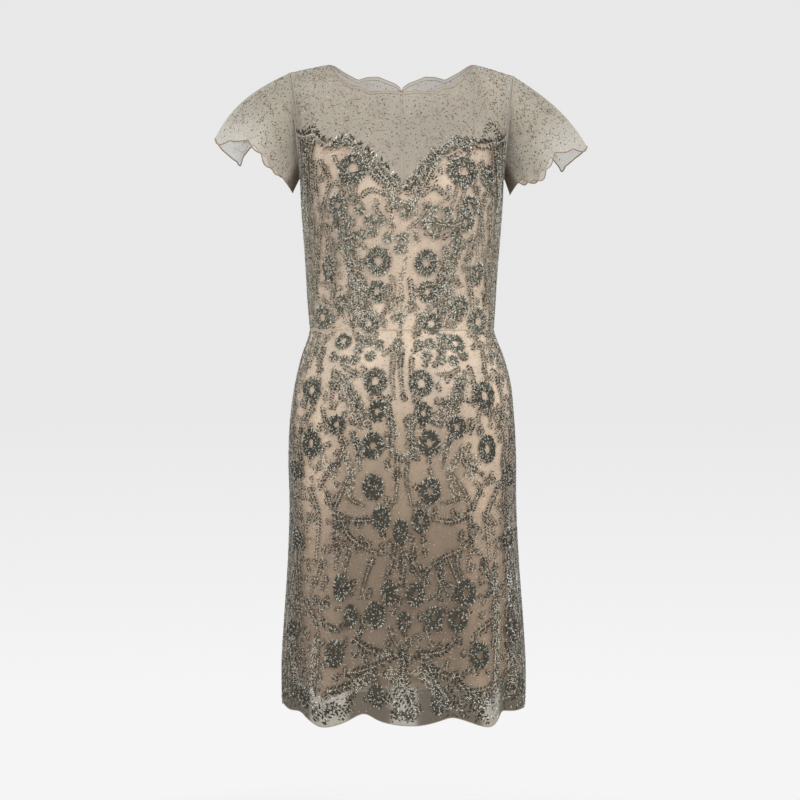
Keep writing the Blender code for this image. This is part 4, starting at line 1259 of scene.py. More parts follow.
def band_beads(cloth, bands, step, rng):
    """Staggered small pale dots along bands of the given width."""
    rows = []
    for width, *places in bands:
        total, read = stem_curve(cloth, places)
        for number, along in enumerate(np.arange(0.0, total, step)):
            off = np.arange(-width / 2.0 + step / 2.0 * (number % 2), width / 2.0, step)
            u, h, turn = read(np.full(len(off), along))
            side = turn + math.pi / 2.0
            off = off + rng.normal(0.0, 0.25, len(off))
            u, h = place_off(cloth, u, h, np.cos(side) * off, np.sin(side) * off)
            rows.append(bead_table(u, h, turn, *BAND_BEAD, bead_tones(rng, len(u), *MIXES["band"])))
    return np.concatenate(rows)


def spray_beads(cloth, line, rng):
    """Fans of long dark leaves along a line, pointing up and outwards, with a bright bead at each foot."""
    total, read = stem_curve(cloth, line)
    rows = []
    for lean, shift, length in SPRAY_LEAVES:
        at = np.arange(2.0, total, SPRAY_GAP)
        at = at + rng.normal(0.0, 1.8, len(at))
        at = at[rng.random(len(at)) < 0.82]
        u, h, turn = read(at)
        turn = math.pi / 2.0 + math.radians(lean) + rng.normal(0.0, 0.2, len(u))
        size = length * rng.uniform(0.8, 1.2, len(u))
        out = size / 2.0 + 1.0
        foot_u, foot_h = place_off(cloth, u, h, np.full(len(u), shift), np.zeros(len(u)))
        u, h = place_off(cloth, foot_u, foot_h, np.cos(turn) * out, np.sin(turn) * out)
        tone = bead_tones(rng, len(u), *MIXES["spray"])
        rows.append(bead_table(u, h, turn, size, 0.30 * size, 0.8, tone))
        rows.append(bead_table(foot_u, foot_h, turn, *FOOT_BEAD, CREAM_TONE))
    return np.concatenate(rows)


def hem_beads(cloth, rng):
    """Thick sprays of long dark leaves in patches along the sheer hem."""
    rows = []
    for patch in HEM_PATCHES:
        u, h = scattered(cloth, patch, (HEM_Z + 0.004, HEM_LEAF_TOP_Z), HEM_LEAF_GAP, rng).T
        turn = math.pi / 2.0 + rng.normal(0.0, 0.9, len(u))
        size = rng.uniform(4.5, 7.5, len(u))
        tone = bead_tones(rng, len(u), *MIXES["hem"])
        rows.append(bead_table(u, h, turn, size, 0.36 * size, 0.7, tone))
    return np.concatenate(rows)


def scattered(cloth, columns, heights, gap, rng):
    """Places about a gap apart in millimetres, in columns whose count of rows follows their length."""
    wide = columns[1] - columns[0]
    tall = heights[1] - heights[0]
    across = cloth_at(cloth, np.array([sum(columns) / 2.0]), np.array([sum(heights) / 2.0]), "across")[0]
    count = int(wide * lengths(across)[0] * 1000.0 / gap)
    found = []
    for number in range(count):
        column = columns[0] + (number + 0.5) / count * wide
        up = cloth_at(cloth, np.full(9, column), np.linspace(*heights, 9), "up")[0]
        rows = int(lengths(up).mean() * tall * 1000.0 / gap)
        level = np.arange(rows) + 0.5 * (number % 2) + rng.uniform(-0.45, 0.45, rows)
        h = heights[0] + level / max(rows, 1) * tall
        u = column + rng.uniform(-0.5, 0.5, rows) / count * wide
        found.append(np.stack([u, h], axis=-1))
    return np.concatenate(found)


def filler_sprigs(cloth, flowers, rng):
    """Short sprigs between the flowers, which run mostly up and down, clear of the bare patches."""
    places = scattered(cloth, (-0.96, 0.96), (HEM_Z + 0.02, -0.15), FILLER_GAP, rng)
    u, h = places.T
    top = np.interp(np.abs(u), *np.array(SLIP_TOPS[cloth["side"]]).T)
    keep = (h < top - 0.01) & clear_of_flowers(cloth, u, h, flowers, 3.0) & off_patches(u, h, BARE_PATCHES)
    found = []
    for u, h in places[keep]:
        length = rng.uniform(9.0, 16.0)
        turn = math.pi / 2.0 + rng.normal(0.0, 0.55)
        bend = rng.normal(0.0, 0.25)
        steps = np.array((-0.5, 0.0, 0.5)) * length
        right = np.cos(turn + bend * steps / 10.0) * steps
        above = np.sin(turn + bend * steps / 10.0) * steps
        at_u, at_h = place_off(cloth, np.full(3, u), np.full(3, h), right, above)
        found.append((rng.uniform(4.0, 5.2), *np.stack([at_u, at_h], axis=-1).tolist()))
    return found


def mirrored(rows):
    """Sprigs or bands turned to the other side, where a hand would place them a little differently."""
    return [
        (size, *((-u + 0.014 * math.sin(90.0 * h), h + 0.004 * math.sin(25.0 * u)) for u, h in places))
        for size, *places in rows
    ]


def garlands():
    """Leafy garlands down both sides of the dress, in lengths that swing from side to side."""
    found = []
    for column, swing in SIDE_GARLANDS:
        for sign in (-1.0, 1.0):
            for number, top in enumerate(np.arange(GARLAND_TOP_Z, GARLAND_LOW_Z, -GARLAND_LENGTH)):
                places = []
                for part in range(5):
                    sway = swing * math.sin(2.4 * (number + part * 0.8) + 9 * column)
                    places.append((sign * (column + sway), top - GARLAND_STEP * part))
                if off_patches(*places[2], SIDE_PATCHES):
                    found.append((GARLAND_LEAF, *places))
    return found


def lightened(rows, rng):
    """Turns three in five of the dark beads above the hips into grey-olive ones, as the bodice is paler."""
    high = ease((rows[:, 1] + 0.52) / 0.12) * ease((-0.185 - rows[:, 1]) / 0.03)
    turned = (rows[:, 6] < 0.3) & (rng.random(len(rows)) < OLIVE_SHARE * high)
    rows[turned, 6] = rng.uniform(*OLIVE_TONES, int(turned.sum()))
    return rows


def keep_inside(rows, side):
    """Leaves out the beads outside the net's edges, in the waist seam and in the centre-back closure."""
    u, h = rows[:, 0], rows[:, 1]
    keep = (np.abs(u) < 0.992) & (h > HEM_Z + 0.003) & (h < -0.002) & (np.abs(h - WAIST_Z) > 0.0014)
    if side == "back":
        keep &= np.abs(u) > 0.022
    return rows[keep]


def stitched_rings(name, cloth, flowers, inner, material):
    """The stitched ground of the flowers: a closed low ring round each centre with a petalled outer edge.

    Its profile has four points, (share of the reach, lift in millimetres), and runs round an ellipse whose
    reach waves with the petals.
    """
    profile = np.array(((inner, 0.04), (inner + 0.10, 0.16), (0.78, 0.16), (0.92, 0.04)))
    angle = np.linspace(0.0, 2 * math.pi, RING_COLUMNS, endpoint=False)
    flowers = np.array(flowers, float)
    centre_u, centre_h, width, tall = (flowers[:, i, None, None] for i in range(4))
    petals = 1.0 + 0.08 * np.cos(RING_PETALS * angle + 7.0 * centre_u) * profile[None, :, 0, None] ** 3
    reach = profile[None, :, 0, None] * petals
    right = np.cos(angle) * reach * width / 2.0
    above = np.sin(angle) * reach * tall / 2.0
    spread_u, spread_h = np.broadcast_to(centre_u, right.shape), np.broadcast_to(centre_h, right.shape)
    u, h = place_off(cloth, spread_u, spread_h, right, above)
    points, _, _, normals = surface_frame(cloth, u, h)
    verts = points + normals * (profile[None, :, 1, None, None] / 1000.0 + BEAD_LIFT / 2)
    count, depth, columns = right.shape
    index = np.arange(count * depth * columns).reshape(count, depth, columns)
    ahead = np.roll(index, -1, axis=2)
    outwards = np.roll(index, -1, axis=1)
    faces = np.stack([index, ahead, np.roll(outwards, -1, axis=2), outwards], axis=-1).reshape(-1, 4)
    corners = verts.reshape(-1, 3)[faces[columns + 1]]
    out = normals.reshape(-1, 3)[faces[columns + 1, 0]]
    if np.cross(corners[1] - corners[0], corners[3] - corners[0]) @ out < 0:
        faces = faces[:, ::-1]
    length = (width + tall) / 4000.0 * angle + 0.0 * reach
    uv = np.stack([length, reach * (width + tall) / 4000.0], axis=-1).reshape(-1, 2)
    return piece_from(name, verts.reshape(-1, 3), [faces], material, uv=uv)


def lay_threads(name, paths, radius, material, sides=5, flat=1.0):
    """Round threads or cords as one mesh.

    A path is (points, normals, closed). The profile runs round the path's direction, and may be flatter than
    wide. An open path ends in flat caps.
    """
    turn = np.arange(sides) / sides * 2 * math.pi
    verts, quads, caps, start = [], [], [], 0
    for points, normals, closed in paths:
        wide = np.concatenate([points[-1:], points, points[:1]]) if closed else points
        way = np.gradient(wide, axis=0)
        way = unit(way[1:-1] if closed else way)
        beside = unit(np.cross(normals, way))
        out = np.cross(way, beside) * flat
        ring = np.cos(turn)[None, :, None] * beside[:, None] + np.sin(turn)[None, :, None] * out[:, None]
        verts.append((points[:, None] + radius * ring).reshape(-1, 3))
        index = start + np.arange(len(points) * sides).reshape(len(points), sides)
        start += len(points) * sides
        rows = np.concatenate([index, index[:1]]) if closed else index
        beyond = np.roll(rows, -1, axis=1)
        quads.append(np.stack([rows[:-1], rows[1:], beyond[1:], beyond[:-1]], axis=-1).reshape(-1, 4))
        if not closed:
            caps += [index[0], index[-1][::-1]]
    verts = np.concatenate(verts)
    quads = np.concatenate(quads)
    faces = [quads] + ([np.array(caps)] if caps else [])
    first = verts[quads[0]]
    middle = verts[:sides].mean(axis=0)
    if np.cross(first[1] - first[0], first[3] - first[0]) @ (first[0] - middle) < 0:
        faces = [block[:, ::-1] for block in faces]
    return piece_from(name, verts, faces, material)


def on_cloth(cloth, u, h, lift):
    """Points and normals on the cloth, lifted off it by metres."""
    u, h = np.broadcast_arrays(np.asarray(u, float), np.asarray(h, float))
    points, _, _, normals = surface_frame(cloth, u, h)
    return points + normals * lift, normals


def scroll_paths(cloth, places, rng):
    """Curled threads with tails: a small spiral that opens into a wavy stem, in a direction of its own."""
    left, right_end, low, high = *cloth["u"][[0, -1]], *cloth["h"][[0, -1]]
    margin = 0.01 * (right_end - left)
    paths = []
    for u, h in places:
        size = rng.uniform(*SCROLL_SIZES) / 2.0
        begin = rng.uniform(0.0, 2 * math.pi)
        sign = rng.choice((-1.0, 1.0))
        turns = rng.uniform(0.55, 1.05)
        tail = rng.uniform(4.0, 20.0)
        turn = np.linspace(0.0, 1.0, SCROLL_POINTS)
        curl = np.clip(turn / 0.55, 0.0, 1.0)
        run = np.clip((turn - 0.55) / 0.45, 0.0, 1.0)
        angle = begin + sign * curl * 2 * math.pi * turns
        reach = size * (0.45 + 0.55 * curl)
        heading = begin + sign * (2 * math.pi * turns + math.pi / 2.0)
        sway = 1.6 * np.sin(run * 2 * math.pi)
        right = np.cos(angle) * reach + tail * run * math.cos(heading) - sway * math.sin(heading)
        above = np.sin(angle) * reach + tail * run * math.sin(heading) + sway * math.cos(heading)
        at_u, at_h = place_off(cloth, np.full(SCROLL_POINTS, u), np.full(SCROLL_POINTS, h), right, above)
        inside = (at_u > left + margin) & (at_u < right_end - margin)
        inside &= (at_h > low + 0.03) & (at_h < high - SCROLL_MARGIN[bool(high > 0.5)])
        if inside.all():
            paths.append((at_u, at_h))
    return paths


def scroll_dots(paths, rng):
    """Brown and dark dots along the curled threads."""
    rows = []
    for u, h in paths:
        pick = rng.random(len(u)) < 0.30
        count = int(pick.sum())
        tone = np.where(rng.random(count) < 0.7, BROWN_TONE, 0.08)
        size = rng.uniform(1.0, 1.7, count)
        rows.append(bead_table(u[pick], h[pick], rng.uniform(0.0, 3.0, count), size, size, 0.7, tone))
    return np.concatenate(rows)


def linear(*colour):
    """A colour from the 0 to 255 scale of a screen to the linear scale of a shader."""
    share = np.array(colour) / 255.0
    low = share / 12.92
    high = ((share + 0.055) / 1.055) ** 2.4
    return (*np.where(share <= 0.04045, low, high).tolist(), 1.0)


def new_material(name):
    """A new material, its node tree and its main shader."""
    material = bpy.data.materials.new(name)
    material.use_nodes = True
    tree = material.node_tree
    return material, tree, tree.nodes["Principled BSDF"]


def fill(tree, made, values):
    """Sets inputs of a node by name or number, each to a plain value or wired to another node's output."""
    for name, value in values.items():
        if isinstance(value, bpy.types.NodeSocket):
            tree.links.new(value, made.inputs[name])
        else:
            made.inputs[name].default_value = value


def node(tree, kind, values=None, **settings):
    """A new node with its settings and the values of its inputs."""
    made = tree.nodes.new(kind)
    for name, value in settings.items():
        setattr(made, name, value)
    fill(tree, made, values or {})
    return made


def maths(tree, operation, *values):
    """The result of a Math node on outputs of other nodes or plain numbers."""
    return node(tree, "ShaderNodeMath", dict(enumerate(values)), operation=operation).outputs[0]


def attribute(tree, name):
    """A field of the mesh, such as its tone."""
    return node(tree, "ShaderNodeAttribute", attribute_name=name).outputs["Fac"]


def object_place(tree):
    """The place in the object's own coordinates, in metres."""
    return node(tree, "ShaderNodeTexCoord").outputs["Object"]


def cloth_bands(tree, pitch, turn):
    """Fine threads in the cloth's own coordinates: 0 to 1 across bands of the given pitch, turned."""
    uv = node(tree, "ShaderNodeUVMap", uv_map="cloth").outputs["UV"]
    turned = node(tree, "ShaderNodeMapping", {"Vector": uv, "Rotation": (0.0, 0.0, math.radians(turn))})
    values = {"Vector": turned.outputs["Vector"], "Scale": 2 * math.pi / pitch / 20.0}
    values |= {"Distortion": 0.4, "Detail": 1.0}
    kinds = {"wave_type": "BANDS", "bands_direction": "X", "wave_profile": "SIN"}
    return node(tree, "ShaderNodeTexWave", values, **kinds).outputs["Fac"]


def object_noise(tree, scale, detail=3.0):
    """Soft noise in the object's own coordinates."""
    values = {"Vector": object_place(tree), "Scale": scale, "Detail": detail, "Roughness": 0.55}
    return node(tree, "ShaderNodeTexNoise", values).outputs["Fac"]


def ramp(tree, source, *stops):
    """Colours that follow a value, from stops of (value, colour)."""
    made = node(tree, "ShaderNodeValToRGB", {"Fac": source})
    elements = made.color_ramp.elements
    while len(elements) < len(stops):
        elements.new(0.5)
    for element, (place, colour) in zip(elements, stops):
        element.position = place
        element.color = colour
    return made.outputs["Color"]


def screen_ramp(tree, source, stops):
    """Colours that follow a value, from stops whose colours are on a screen's scale."""
    return ramp(tree, source, *((place, linear(*colour)) for place, colour in stops))


def spread(tree, source, low, high, new_low, new_high):
    """A value moved from one range to another and kept within it."""
    values = {"Value": source, "From Min": low, "From Max": high, "To Min": new_low, "To Max": new_high}
    return node(tree, "ShaderNodeMapRange", values).outputs["Result"]


def blended(tree, factor, first, second, how="MIX"):
    """Two colours mixed by a factor."""
    values = {"Factor": factor, "A": first, "B": second}
    return node(tree, "ShaderNodeMix", values, data_type="RGBA", blend_type=how).outputs["Result"]


def tinted(tree, colour, share):
    """A colour multiplied by a grey share."""
    return blended(tree, 1.0, colour, share, "MULTIPLY")


def bump(tree, height, strength, distance):
    """Normals that follow a height between 0 and 1, with the distance in metres."""
    values = {"Height": height, "Strength": strength, "Distance": distance}
    return node(tree, "ShaderNodeBump", values).outputs["Normal"]


def net_material(name, covers, colours):
    """Sheer net: threads that cross, whose holes are nearly clear, with cloudy cover.

    The tone attribute blends from the first pair of covers (hole, thread) and colour to the second. The shade
    attribute tells how far the net lies in two layers, which makes it denser, and darkens its colour as
    painted shade.
    """
    material, tree, shader = new_material(name)
    crossed = maths(tree, "MAXIMUM", *(cloth_bands(tree, NET_PITCH, turn) for turn in (NET_TURN, -NET_TURN)))
    threads = spread(tree, crossed, 0.62, 0.98, 0.0, 1.0)
    kind = attribute(tree, "tone")
    holes, fibres = (spread(tree, kind, 0.0, 1.0, first, second) for first, second in zip(*covers))
    more = maths(tree, "MULTIPLY", threads, maths(tree, "SUBTRACT", fibres, holes))
    doubled_and_shaded = attribute(tree, "shade")
    cover = maths(tree, "ADD", maths(tree, "ADD", holes, more), maths(tree, "MULTIPLY", doubled_and_shaded, 0.36))
    cloud = spread(tree, object_noise(tree, 14.0), 0.3, 0.7, -0.05, 0.05)
    colour = blended(tree, kind, linear(*colours[0]), linear(*colours[1]))
    colour = tinted(tree, colour, spread(tree, object_noise(tree, 9.0, 4.0), 0.3, 0.7, 0.86, 1.08))
    # Painted shade: the net's colour darkens as the shade attribute grows
    painted_shade = ramp(tree, doubled_and_shaded, (0.0, (1.0, 1.0, 1.0, 1.0)), (1.0, (0.22, 0.19, 0.15, 1.0)))
    fill(tree, shader, {
        "Base Color": tinted(tree, colour, painted_shade), "Alpha": maths(tree, "ADD", cover, cloud),
        "Roughness": 0.72, "Sheen Weight": 0.25, "Sheen Roughness": 0.5,
        "Normal": bump(tree, threads, 0.35, 0.0003),
    })
    return material


def satin_material():
    """Nude lining satin with a fine twill. Its colour carries painted light at the bust, waist and hips,
    painted shade, browner, down the middle of the skirt and towards its hem, and soft runs of painted fold
    shade downwards."""
    material, tree, shader = new_material("nude_satin")
    place = object_place(tree)
    split = node(tree, "ShaderNodeSeparateXYZ", {"Vector": place})
    height = spread(tree, split.outputs["Z"], SLIP_HEM_Z, -0.11, 0.0, 1.0)
    away = spread(tree, maths(tree, "ABSOLUTE", split.outputs["X"]), 0.078, 0.116, 0.0, 1.0)
    # Painted light and painted shade: the colour by height, and by how far it is from the middle
    colour = blended(
        tree, away, screen_ramp(tree, height, SATIN_MIDDLE_LIGHT_AND_SHADE), screen_ramp(tree, height, SATIN_SIDES_LIGHT_AND_SHADE),
    )
    # Soft lengthwise marks of painted fold shade and light
    stretch = node(tree, "ShaderNodeMapping", {"Vector": place, "Scale": (1.0, 0.5, 0.12)})
    values = {"Vector": stretch.outputs["Vector"], "Scale": 46.0, "Detail": 2.0}
    painted_fold_shade = node(tree, "ShaderNodeTexNoise", values).outputs["Fac"]
    fill(tree, shader, {
        "Base Color": tinted(tree, colour, spread(tree, painted_fold_shade, 0.3, 0.7, 0.86, 1.10)),
        "Roughness": 0.48, "Sheen Weight": 0.15,
        "Normal": bump(tree, cloth_bands(tree, TWILL_PITCH, 45.0), 0.20, 0.0002),
    })
    return material


def bead_material():
    """Small glass and metal beads: dark olive, brown, grey-olive and silver, told apart by their tone. The
    silver ones are near white, which is a painted glint.
    """
    material, tree, shader = new_material("seed_beads")
    tone = attribute(tree, "tone")
    cloud = spread(tree, object_noise(tree, 900.0, 1.0), 0.3, 0.7, 0.78, 1.18)
    fill(tree, shader, {
        "Base Color": tinted(tree, screen_ramp(tree, tone, BEAD_COLOURS), cloud),
        "Metallic": spread(tree, tone, 0.0, 1.0, 0.05, 0.30), "Roughness": 0.34,
    })
    return material


def stitch_material(name, *colours):
    """Embroidery: radial stitches of matt thread, lighter and darker by turns, in three colours."""
    material, tree, shader = new_material(name)
    stitches = spread(tree, cloth_bands(tree, STITCH_PITCH, 0.0), 0.1, 0.9, 0.0, 1.0)
    cloud = maths(tree, "MULTIPLY", object_noise(tree, 260.0), 0.5)
    share = maths(tree, "ADD", maths(tree, "MULTIPLY", stitches, 0.6), cloud)
    fill(tree, shader, {
        "Base Color": screen_ramp(tree, share, zip((0.15, 0.45, 0.80), colours)),
        "Roughness": 0.6, "Sheen Weight": 0.2, "Normal": bump(tree, stitches, 0.6, 0.0004),
    })
    return material


def thread_material(name, *colours):
    """A twisted thread or cord, darker and lighter along its length."""
    material, tree, shader = new_material(name)
    colour = screen_ramp(tree, object_noise(tree, 420.0, 2.0), zip((0.35, 0.65), colours))
    fill(tree, shader, {"Base Color": colour, "Roughness": 0.62, "Sheen Weight": 0.2})
    return material


def brass_material():
    """The zip's antique brass: darker in cloudy patches, with fine brushing."""
    material, tree, shader = new_material("antique_brass")
    stops = ((0.35, (120, 96, 58)), (0.65, (186, 156, 102)))
    fill(tree, shader, {
        "Base Color": screen_ramp(tree, object_noise(tree, 320.0, 4.0), stops), "Metallic": 1.0,
        "Roughness": spread(tree, object_noise(tree, 900.0, 2.0), 0.3, 0.7, 0.26, 0.42),
    })
    return material


NET = net_material("beaded_net", ((0.04, 0.16), (0.42, 0.74)), ((172, 156, 134), (172, 163, 147)))
# The sleeve net's pale first colour is painted light at the outer lower edge; its dark brown second colour is
# painted shade at the underarm
SLEEVE_NET = net_material("sleeve_net", ((0.165, 0.43), (0.80, 0.96)), ((204, 198, 182), (122, 106, 82)))
SATIN = satin_material()

CLOTHS = {side: make_cloth(side) for side in ("front", "back")}
for side, cloth in CLOTHS.items():
    for which, span in halves(side).items():
        for kind in ("bodice", "skirt"):
            net_panel(cloth, kind, which, span, NET)
            slip_panel(cloth, kind, which, span, SATIN)
SLEEVES = {hand: make_sleeve(hand, SLEEVE_NET) for hand in ("left", "right")}

BEADS = bead_material()
STITCHES = stitch_material("olive_stitches", (40, 37, 30), (56, 52, 42), (104, 99, 84))
BUD_STITCHES = stitch_material("taupe_stitches", (84, 78, 64), (112, 105, 89), (146, 138, 120))
TAN_CORD = thread_material("tan_cord", (140, 112, 86), (178, 150, 120))
SCROLL_THREAD = thread_material("scroll_thread", (124, 98, 74), (160, 136, 110))
SEAM_THREAD = thread_material("seam_thread", (128, 116, 98), (160, 147, 128))
ARMHOLE_THREAD = thread_material("armhole_thread", (150, 142, 126), (176, 168, 151))
NUDE_THREAD = thread_material("nude_thread", (158, 141, 121), (186, 168, 147))
BROWN_CORD = thread_material("brown_cord", (122, 98, 78), (160, 134, 108))
BRASS = brass_material()
for name in ("zip_slider", "zip_pull"):
    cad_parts[name].data.materials.clear()
    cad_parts[name].data.materials.append(BRASS)


def bead_the_side(cloth, seed):
    """All beadwork of one side. The back has the front's layout the other way round, clear of the closure."""
    side = cloth["side"]
    rng = np.random.default_rng(seed)
    flowers, buds = list(FLOWERS), [(u, h, BUD_SIZE, BUD_SIZE) for u, h in BUDS]
    sprigs = [*SPRIGS_BOTH, *mirrored(SPRIGS_BOTH), *SPRIGS_LEFT, *SPRIGS_RIGHT]
    bands = [*BANDS_BOTH, *mirrored(BANDS_BOTH), *BANDS_LEFT, *BANDS_RIGHT]
    if side == "back":
        flowers = [
            (-u, h, BACK_FLOWER * wide, BACK_FLOWER * tall)
            for u, h, wide, tall in flowers if abs(u) > BACK_CLEAR["flowers"]
        ]
        buds = [(-u, h, wide, tall) for u, h, wide, tall in buds if abs(u) > BACK_CLEAR["buds"]]
        sprigs, bands = mirrored(sprigs), mirrored(bands)
    else:
        sprigs += SPRIGS_CENTRE
    rows = np.concatenate([
        flower_beads(cloth, flowers, BEAD_HOLE, RING_GAP[side], rng),
        flower_beads(cloth, buds, BUD_HOLE, BUD_GAP, rng),
    ])
    rows = keep_inside(lightened(rows, rng), side)
    lay_beads(f"beads_flowers_{side}", cloth, rows, BEADS, corners=BEAD_SPIKE)
    sprigs += filler_sprigs(cloth, flowers + buds, rng)
    rows = np.concatenate([
        sprig_beads(cloth, sprigs, rng), sprig_beads(cloth, garlands(), rng, 0.1),
        spray_beads(cloth, SPRAY_LINES[side], rng), hem_beads(cloth, rng),
    ])
    lay_beads(f"beads_leaves_{side}", cloth, keep_inside(lightened(rows, rng), side), BEADS)
    u, h = scattered(cloth, (-0.99, 0.99), (HEM_Z + 0.004, -0.19), LOOSE_GAP, rng).T
    turn = rng.uniform(0.0, math.pi, len(u))
    tone = bead_tones(rng, len(u), *MIXES["loose"])
    rows = np.concatenate([
        band_beads(cloth, bands, BAND_GAP, rng), bead_table(u, h, turn, *LOOSE_BEAD, tone),
        fern_dots(cloth, sprigs, flowers + buds, FERN_DOT_GAP[side], rng),
    ])
    lay_beads(f"beads_dots_{side}", cloth, keep_inside(rows, side), BEADS, corners=BEAD_SPIKE)
    stitched_rings(f"stitched_flowers_{side}", cloth, flowers, FLOWER_HOLE, STITCHES)
    stitched_rings(f"stitched_buds_{side}", cloth, buds, BUD_HOLE, BUD_STITCHES)


def bead_the_sheer(cloth, name, places, scrolls, rng):
    """The sheer yoke or a sleeve: loose dark beads, cream stones in pairs, and curled threads with dots."""
    count = len(places)
    pick = rng.random(count)
    size = np.where(pick < SHEER_BEADS, rng.uniform(1.4, 2.9, count), 2.1)
    tone = np.where(pick < SHEER_BEADS, BROWN_TONE, CREAM_TONE)
    tone = np.where(pick < SHEER_DARK, rng.uniform(0.0, 0.2, count), tone)
    turn = rng.uniform(0.0, math.pi, count)
    rows = bead_table(places[:, 0], places[:, 1], turn, size * 1.15, size, 0.8, tone)
    cream = rows[pick > SHEER_SINGLE].copy()
    off = np.full(len(cream), 3.2)
    cream[:, 0], cream[:, 1] = place_off(cloth, cream[:, 0], cream[:, 1], off, 0.3 * off)
    paths = scroll_paths(cloth, scrolls, rng)
    rows = np.concatenate([rows, cream, scroll_dots(paths, rng)])
    inside = (rows[:, 0] > cloth["u"][0]) & (rows[:, 0] < cloth["u"][-1]) & (rows[:, 1] < cloth["h"][-1])
    lay_beads(f"beads_{name}", cloth, rows[inside], BEADS, BEAD_SPIKE)
    threads = [(*on_cloth(cloth, u, h, THREAD_LIFT), False) for u, h in paths]
    lay_threads(f"scrolls_{name}", threads, SCROLL_RADIUS, SCROLL_THREAD, 4)


for number, (side, cloth) in enumerate(CLOTHS.items()):
    bead_the_side(cloth, SEEDS["side"] + number)
    rng = np.random.default_rng(SEEDS["yoke"] + number)
    places = scattered(cloth, (-0.97, 0.97), (-0.150, -0.004), YOKE_GAP, rng)
    scrolls = scattered(cloth, (-0.93, 0.93), (-0.150, -0.012), YOKE_SCROLL_GAP, rng)
    bead_the_sheer(cloth, f"yoke_{side}", places, scrolls, rng)
for number, (hand, cloth) in enumerate(SLEEVES.items()):
    rng = np.random.default_rng(SEEDS["sleeve"] + number)
    places = scattered(cloth, (0.03, 1.97), (0.06, 0.96), SLEEVE_GAP, rng)
    scrolls = scattered(cloth, (0.05, 1.95), (0.10, 0.92), SLEEVE_SCROLL_GAP, rng)
    bead_the_sheer(cloth, f"sleeve_{hand}", places, scrolls, rng)


def edge_path(cloth, h, span, count, lift, closed=False):
    """A path along a height of the cloth between two columns."""
    u = np.linspace(*span, count, endpoint=not closed)
    return (*on_cloth(cloth, u, h, lift), closed)


def column_path(cloth, u, span, count, lift):
    """A path along a column of the cloth between two heights."""
    return (*on_cloth(cloth, u, np.linspace(*span, count), lift), False)


def all_round(h, end, gap, count, lift):
    """Paths along a height of both sides: the whole front, and the back but for a gap at its middle."""
    front, back = CLOTHS["front"], CLOTHS["back"]
    return [
        edge_path(front, h, (-end, end), 2 * count + 1, lift),
        edge_path(back, h, (-end, -gap), count + 1, lift),
        edge_path(back, h, (gap, end), count + 1, lift),
    ]


def both_ways(cloth, u, span, count, lift):
    """Paths along a column of the cloth and along its mirror image."""
    return [column_path(cloth, sign * u, span, count, lift) for sign in (-1.0, 1.0)]


def trim_edges():
    """Cords and seams: neckline, sleeve hems, net hem, waist, sides, shoulders and armholes."""
    front = CLOTHS["front"]
    neck = NECK_COLUMN + 0.004
    lay_threads("neck_cord", all_round(0.0, neck, 0.012, 60, 0.0), NECK_CORD, TAN_CORD)
    stitching = all_round(NECK_THREAD_Z, neck, 0.012, 60, THREAD_LIFT)
    lay_threads("neck_stitching", stitching, NECK_THREAD, SCROLL_THREAD, 4)
    for hand, cloth in SLEEVES.items():
        hem = edge_path(cloth, 1.0, (0.0, 2.0), SLEEVE_COLUMNS, 0.0, closed=True)
        lay_threads(f"sleeve_cord_{hand}", [hem], SLEEVE_CORD, BROWN_CORD)
        seam = edge_path(cloth, 0.0, (0.0, 2.0), SLEEVE_COLUMNS, ARMHOLE_LIFT, closed=True)
        lay_threads(f"armhole_seam_{hand}", [seam], ARMHOLE_CORD, ARMHOLE_THREAD)
    hems = all_round(HEM_Z, 1.0, 0.004, 80, 0.0)
    lay_threads("net_hem_cord", hems, SEAM_CORD, SEAM_THREAD, 4)
    waists = all_round(WAIST_Z, 0.995, 0.008, 60, SEAM_LIFT)
    lay_threads("waist_seam", waists, SEAM_CORD, NUDE_THREAD, 5, 0.4)
    sides = both_ways(front, 0.998, (HEM_Z, CHEST_Z), 120, SEAM_LIFT)
    lay_threads("side_seams", sides, SEAM_CORD, SEAM_THREAD, 5, 0.6)
    shoulders = [
        edge_path(front, -0.0005, (sign * neck, sign * 0.999), 24, SEAM_LIFT) for sign in (-1.0, 1.0)
    ]
    lay_threads("shoulder_seams", shoulders, SEAM_CORD, SEAM_THREAD, 5, 0.6)


def close_the_back():
    """The closure: two folded edges that meet over the zip, and a plain seam below it."""
    back = CLOTHS["back"]
    folds = both_ways(back, ZIP_FOLD_COLUMN, (ZIP_END_Z, -0.004), 150, 0.0004)
    lay_threads("zip_folds", folds, ZIP_FOLD, SEAM_THREAD, 6, 0.4)
    stitches = both_ways(back, ZIP_THREAD_COLUMN, (ZIP_END_Z, -0.010), 150, THREAD_LIFT)
    lay_threads("zip_stitching", stitches, ZIP_THREAD, SCROLL_THREAD, 4)
    seam = [column_path(back, 0.0, (HEM_Z + 0.001, ZIP_END_Z), 90, THREAD_LIFT)]
    lay_threads("back_seam", seam, BACK_SEAM, SEAM_THREAD, 6, 0.5)


trim_edges()
close_the_back()


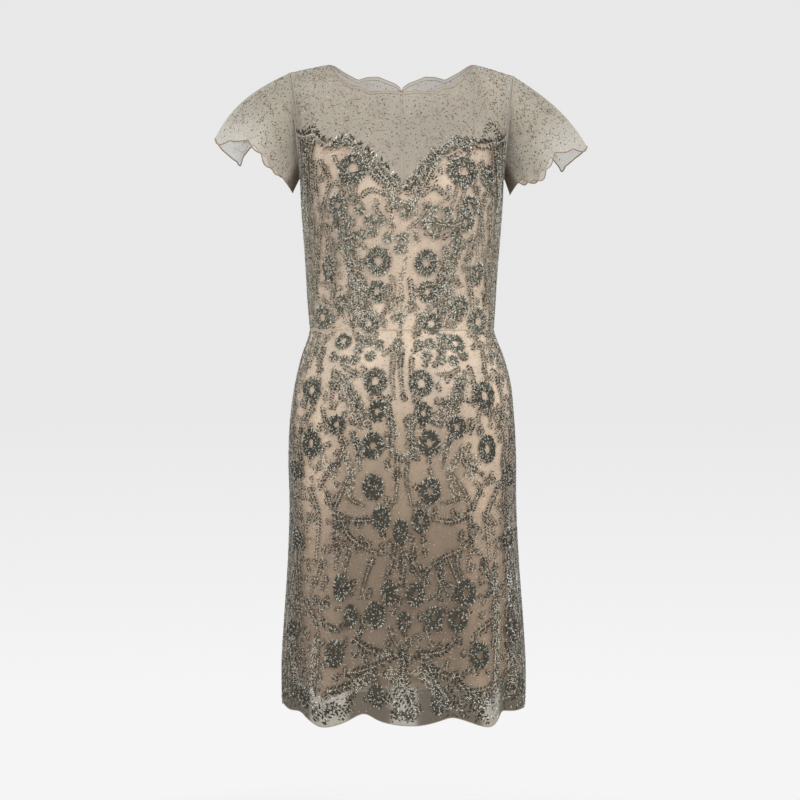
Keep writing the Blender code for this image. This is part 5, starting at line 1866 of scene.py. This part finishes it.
def make_stage():
    """A plain pale floor, round, well below the hem, that fades out towards its edge."""
    mesh = bpy.data.meshes.new("floor")
    turn = np.linspace(0.0, 2 * math.pi, FLOOR_CORNERS, endpoint=False)
    level = np.full(FLOOR_CORNERS, FLOOR_Z)
    rim = np.stack([FLOOR_RADIUS * np.cos(turn), FLOOR_RADIUS * np.sin(turn), level], axis=-1)
    mesh.from_pydata(rim.tolist(), [], [tuple(range(FLOOR_CORNERS))])
    material, tree, shader = new_material("pale_floor")
    values = {0: object_place(tree), 1: (1.0, 1.0, 0.0)}
    flat = node(tree, "ShaderNodeVectorMath", values, operation="MULTIPLY").outputs["Vector"]
    length = node(tree, "ShaderNodeVectorMath", {0: flat}, operation="LENGTH").outputs["Value"]
    fade = spread(tree, length, 0.45 * FLOOR_RADIUS, 0.97 * FLOOR_RADIUS, 1.0, 0.0)
    fill(tree, shader, {"Base Color": (0.84, 0.84, 0.84, 1.0), "Alpha": fade, "Roughness": 0.9})
    mesh.materials.append(material)
    add_object("floor", mesh)


def add_light(name, place, aim, size, power):
    """A square white area light at a place, turned to what it aims at."""
    data = bpy.data.lights.new(name, "AREA")
    data.shape = "SQUARE"
    data.size = size
    data.energy = power
    lamp = add_object(name, data)
    lamp.location = place
    lamp.rotation_mode = "QUATERNION"
    lamp.rotation_quaternion = Vector(np.array(aim) - np.array(place)).to_track_quat("-Z", "Y")


def make_lights():
    """A pale studio behind, a little brighter below, that lights the dress more softly than it looks; a
    large soft key light from the upper right, a weak one from the left and another from behind."""
    world = bpy.data.worlds.new("studio")
    bpy.context.scene.world = world
    world.use_nodes = True
    tree = world.node_tree
    way = node(tree, "ShaderNodeTexCoord").outputs["Generated"]
    split = node(tree, "ShaderNodeSeparateXYZ", {"Vector": way})
    seen = spread(tree, split.outputs["Z"], *BACKDROP)
    to_camera = node(tree, "ShaderNodeLightPath").outputs["Is Camera Ray"]
    values = {"Factor": to_camera, "A": STUDIO_GLOW, "B": seen}
    strength = node(tree, "ShaderNodeMix", values, data_type="FLOAT").outputs["Result"]
    fill(tree, tree.nodes["Background"], {"Strength": strength, "Color": (1.0, 1.0, 1.0, 1.0)})
    for light in LIGHTS:
        add_light(*light)
    bpy.context.scene.view_settings.view_transform = "Standard"


def make_camera():
    """At the height of the bust, level but for a slight tilt, with the photograph's field of view."""
    data = bpy.data.cameras.new("camera")
    data.sensor_width = 36.0
    data.lens = CAMERA_LENS
    data.shift_x, data.shift_y = CAMERA_SHIFT
    camera = add_object("camera", data)
    camera.location = CAMERA_PLACE
    camera.rotation_euler = (math.radians(90.0 - CAMERA_TILT), 0.0, 0.0)
    bpy.context.scene.camera = camera


make_stage()
make_lights()
make_camera()
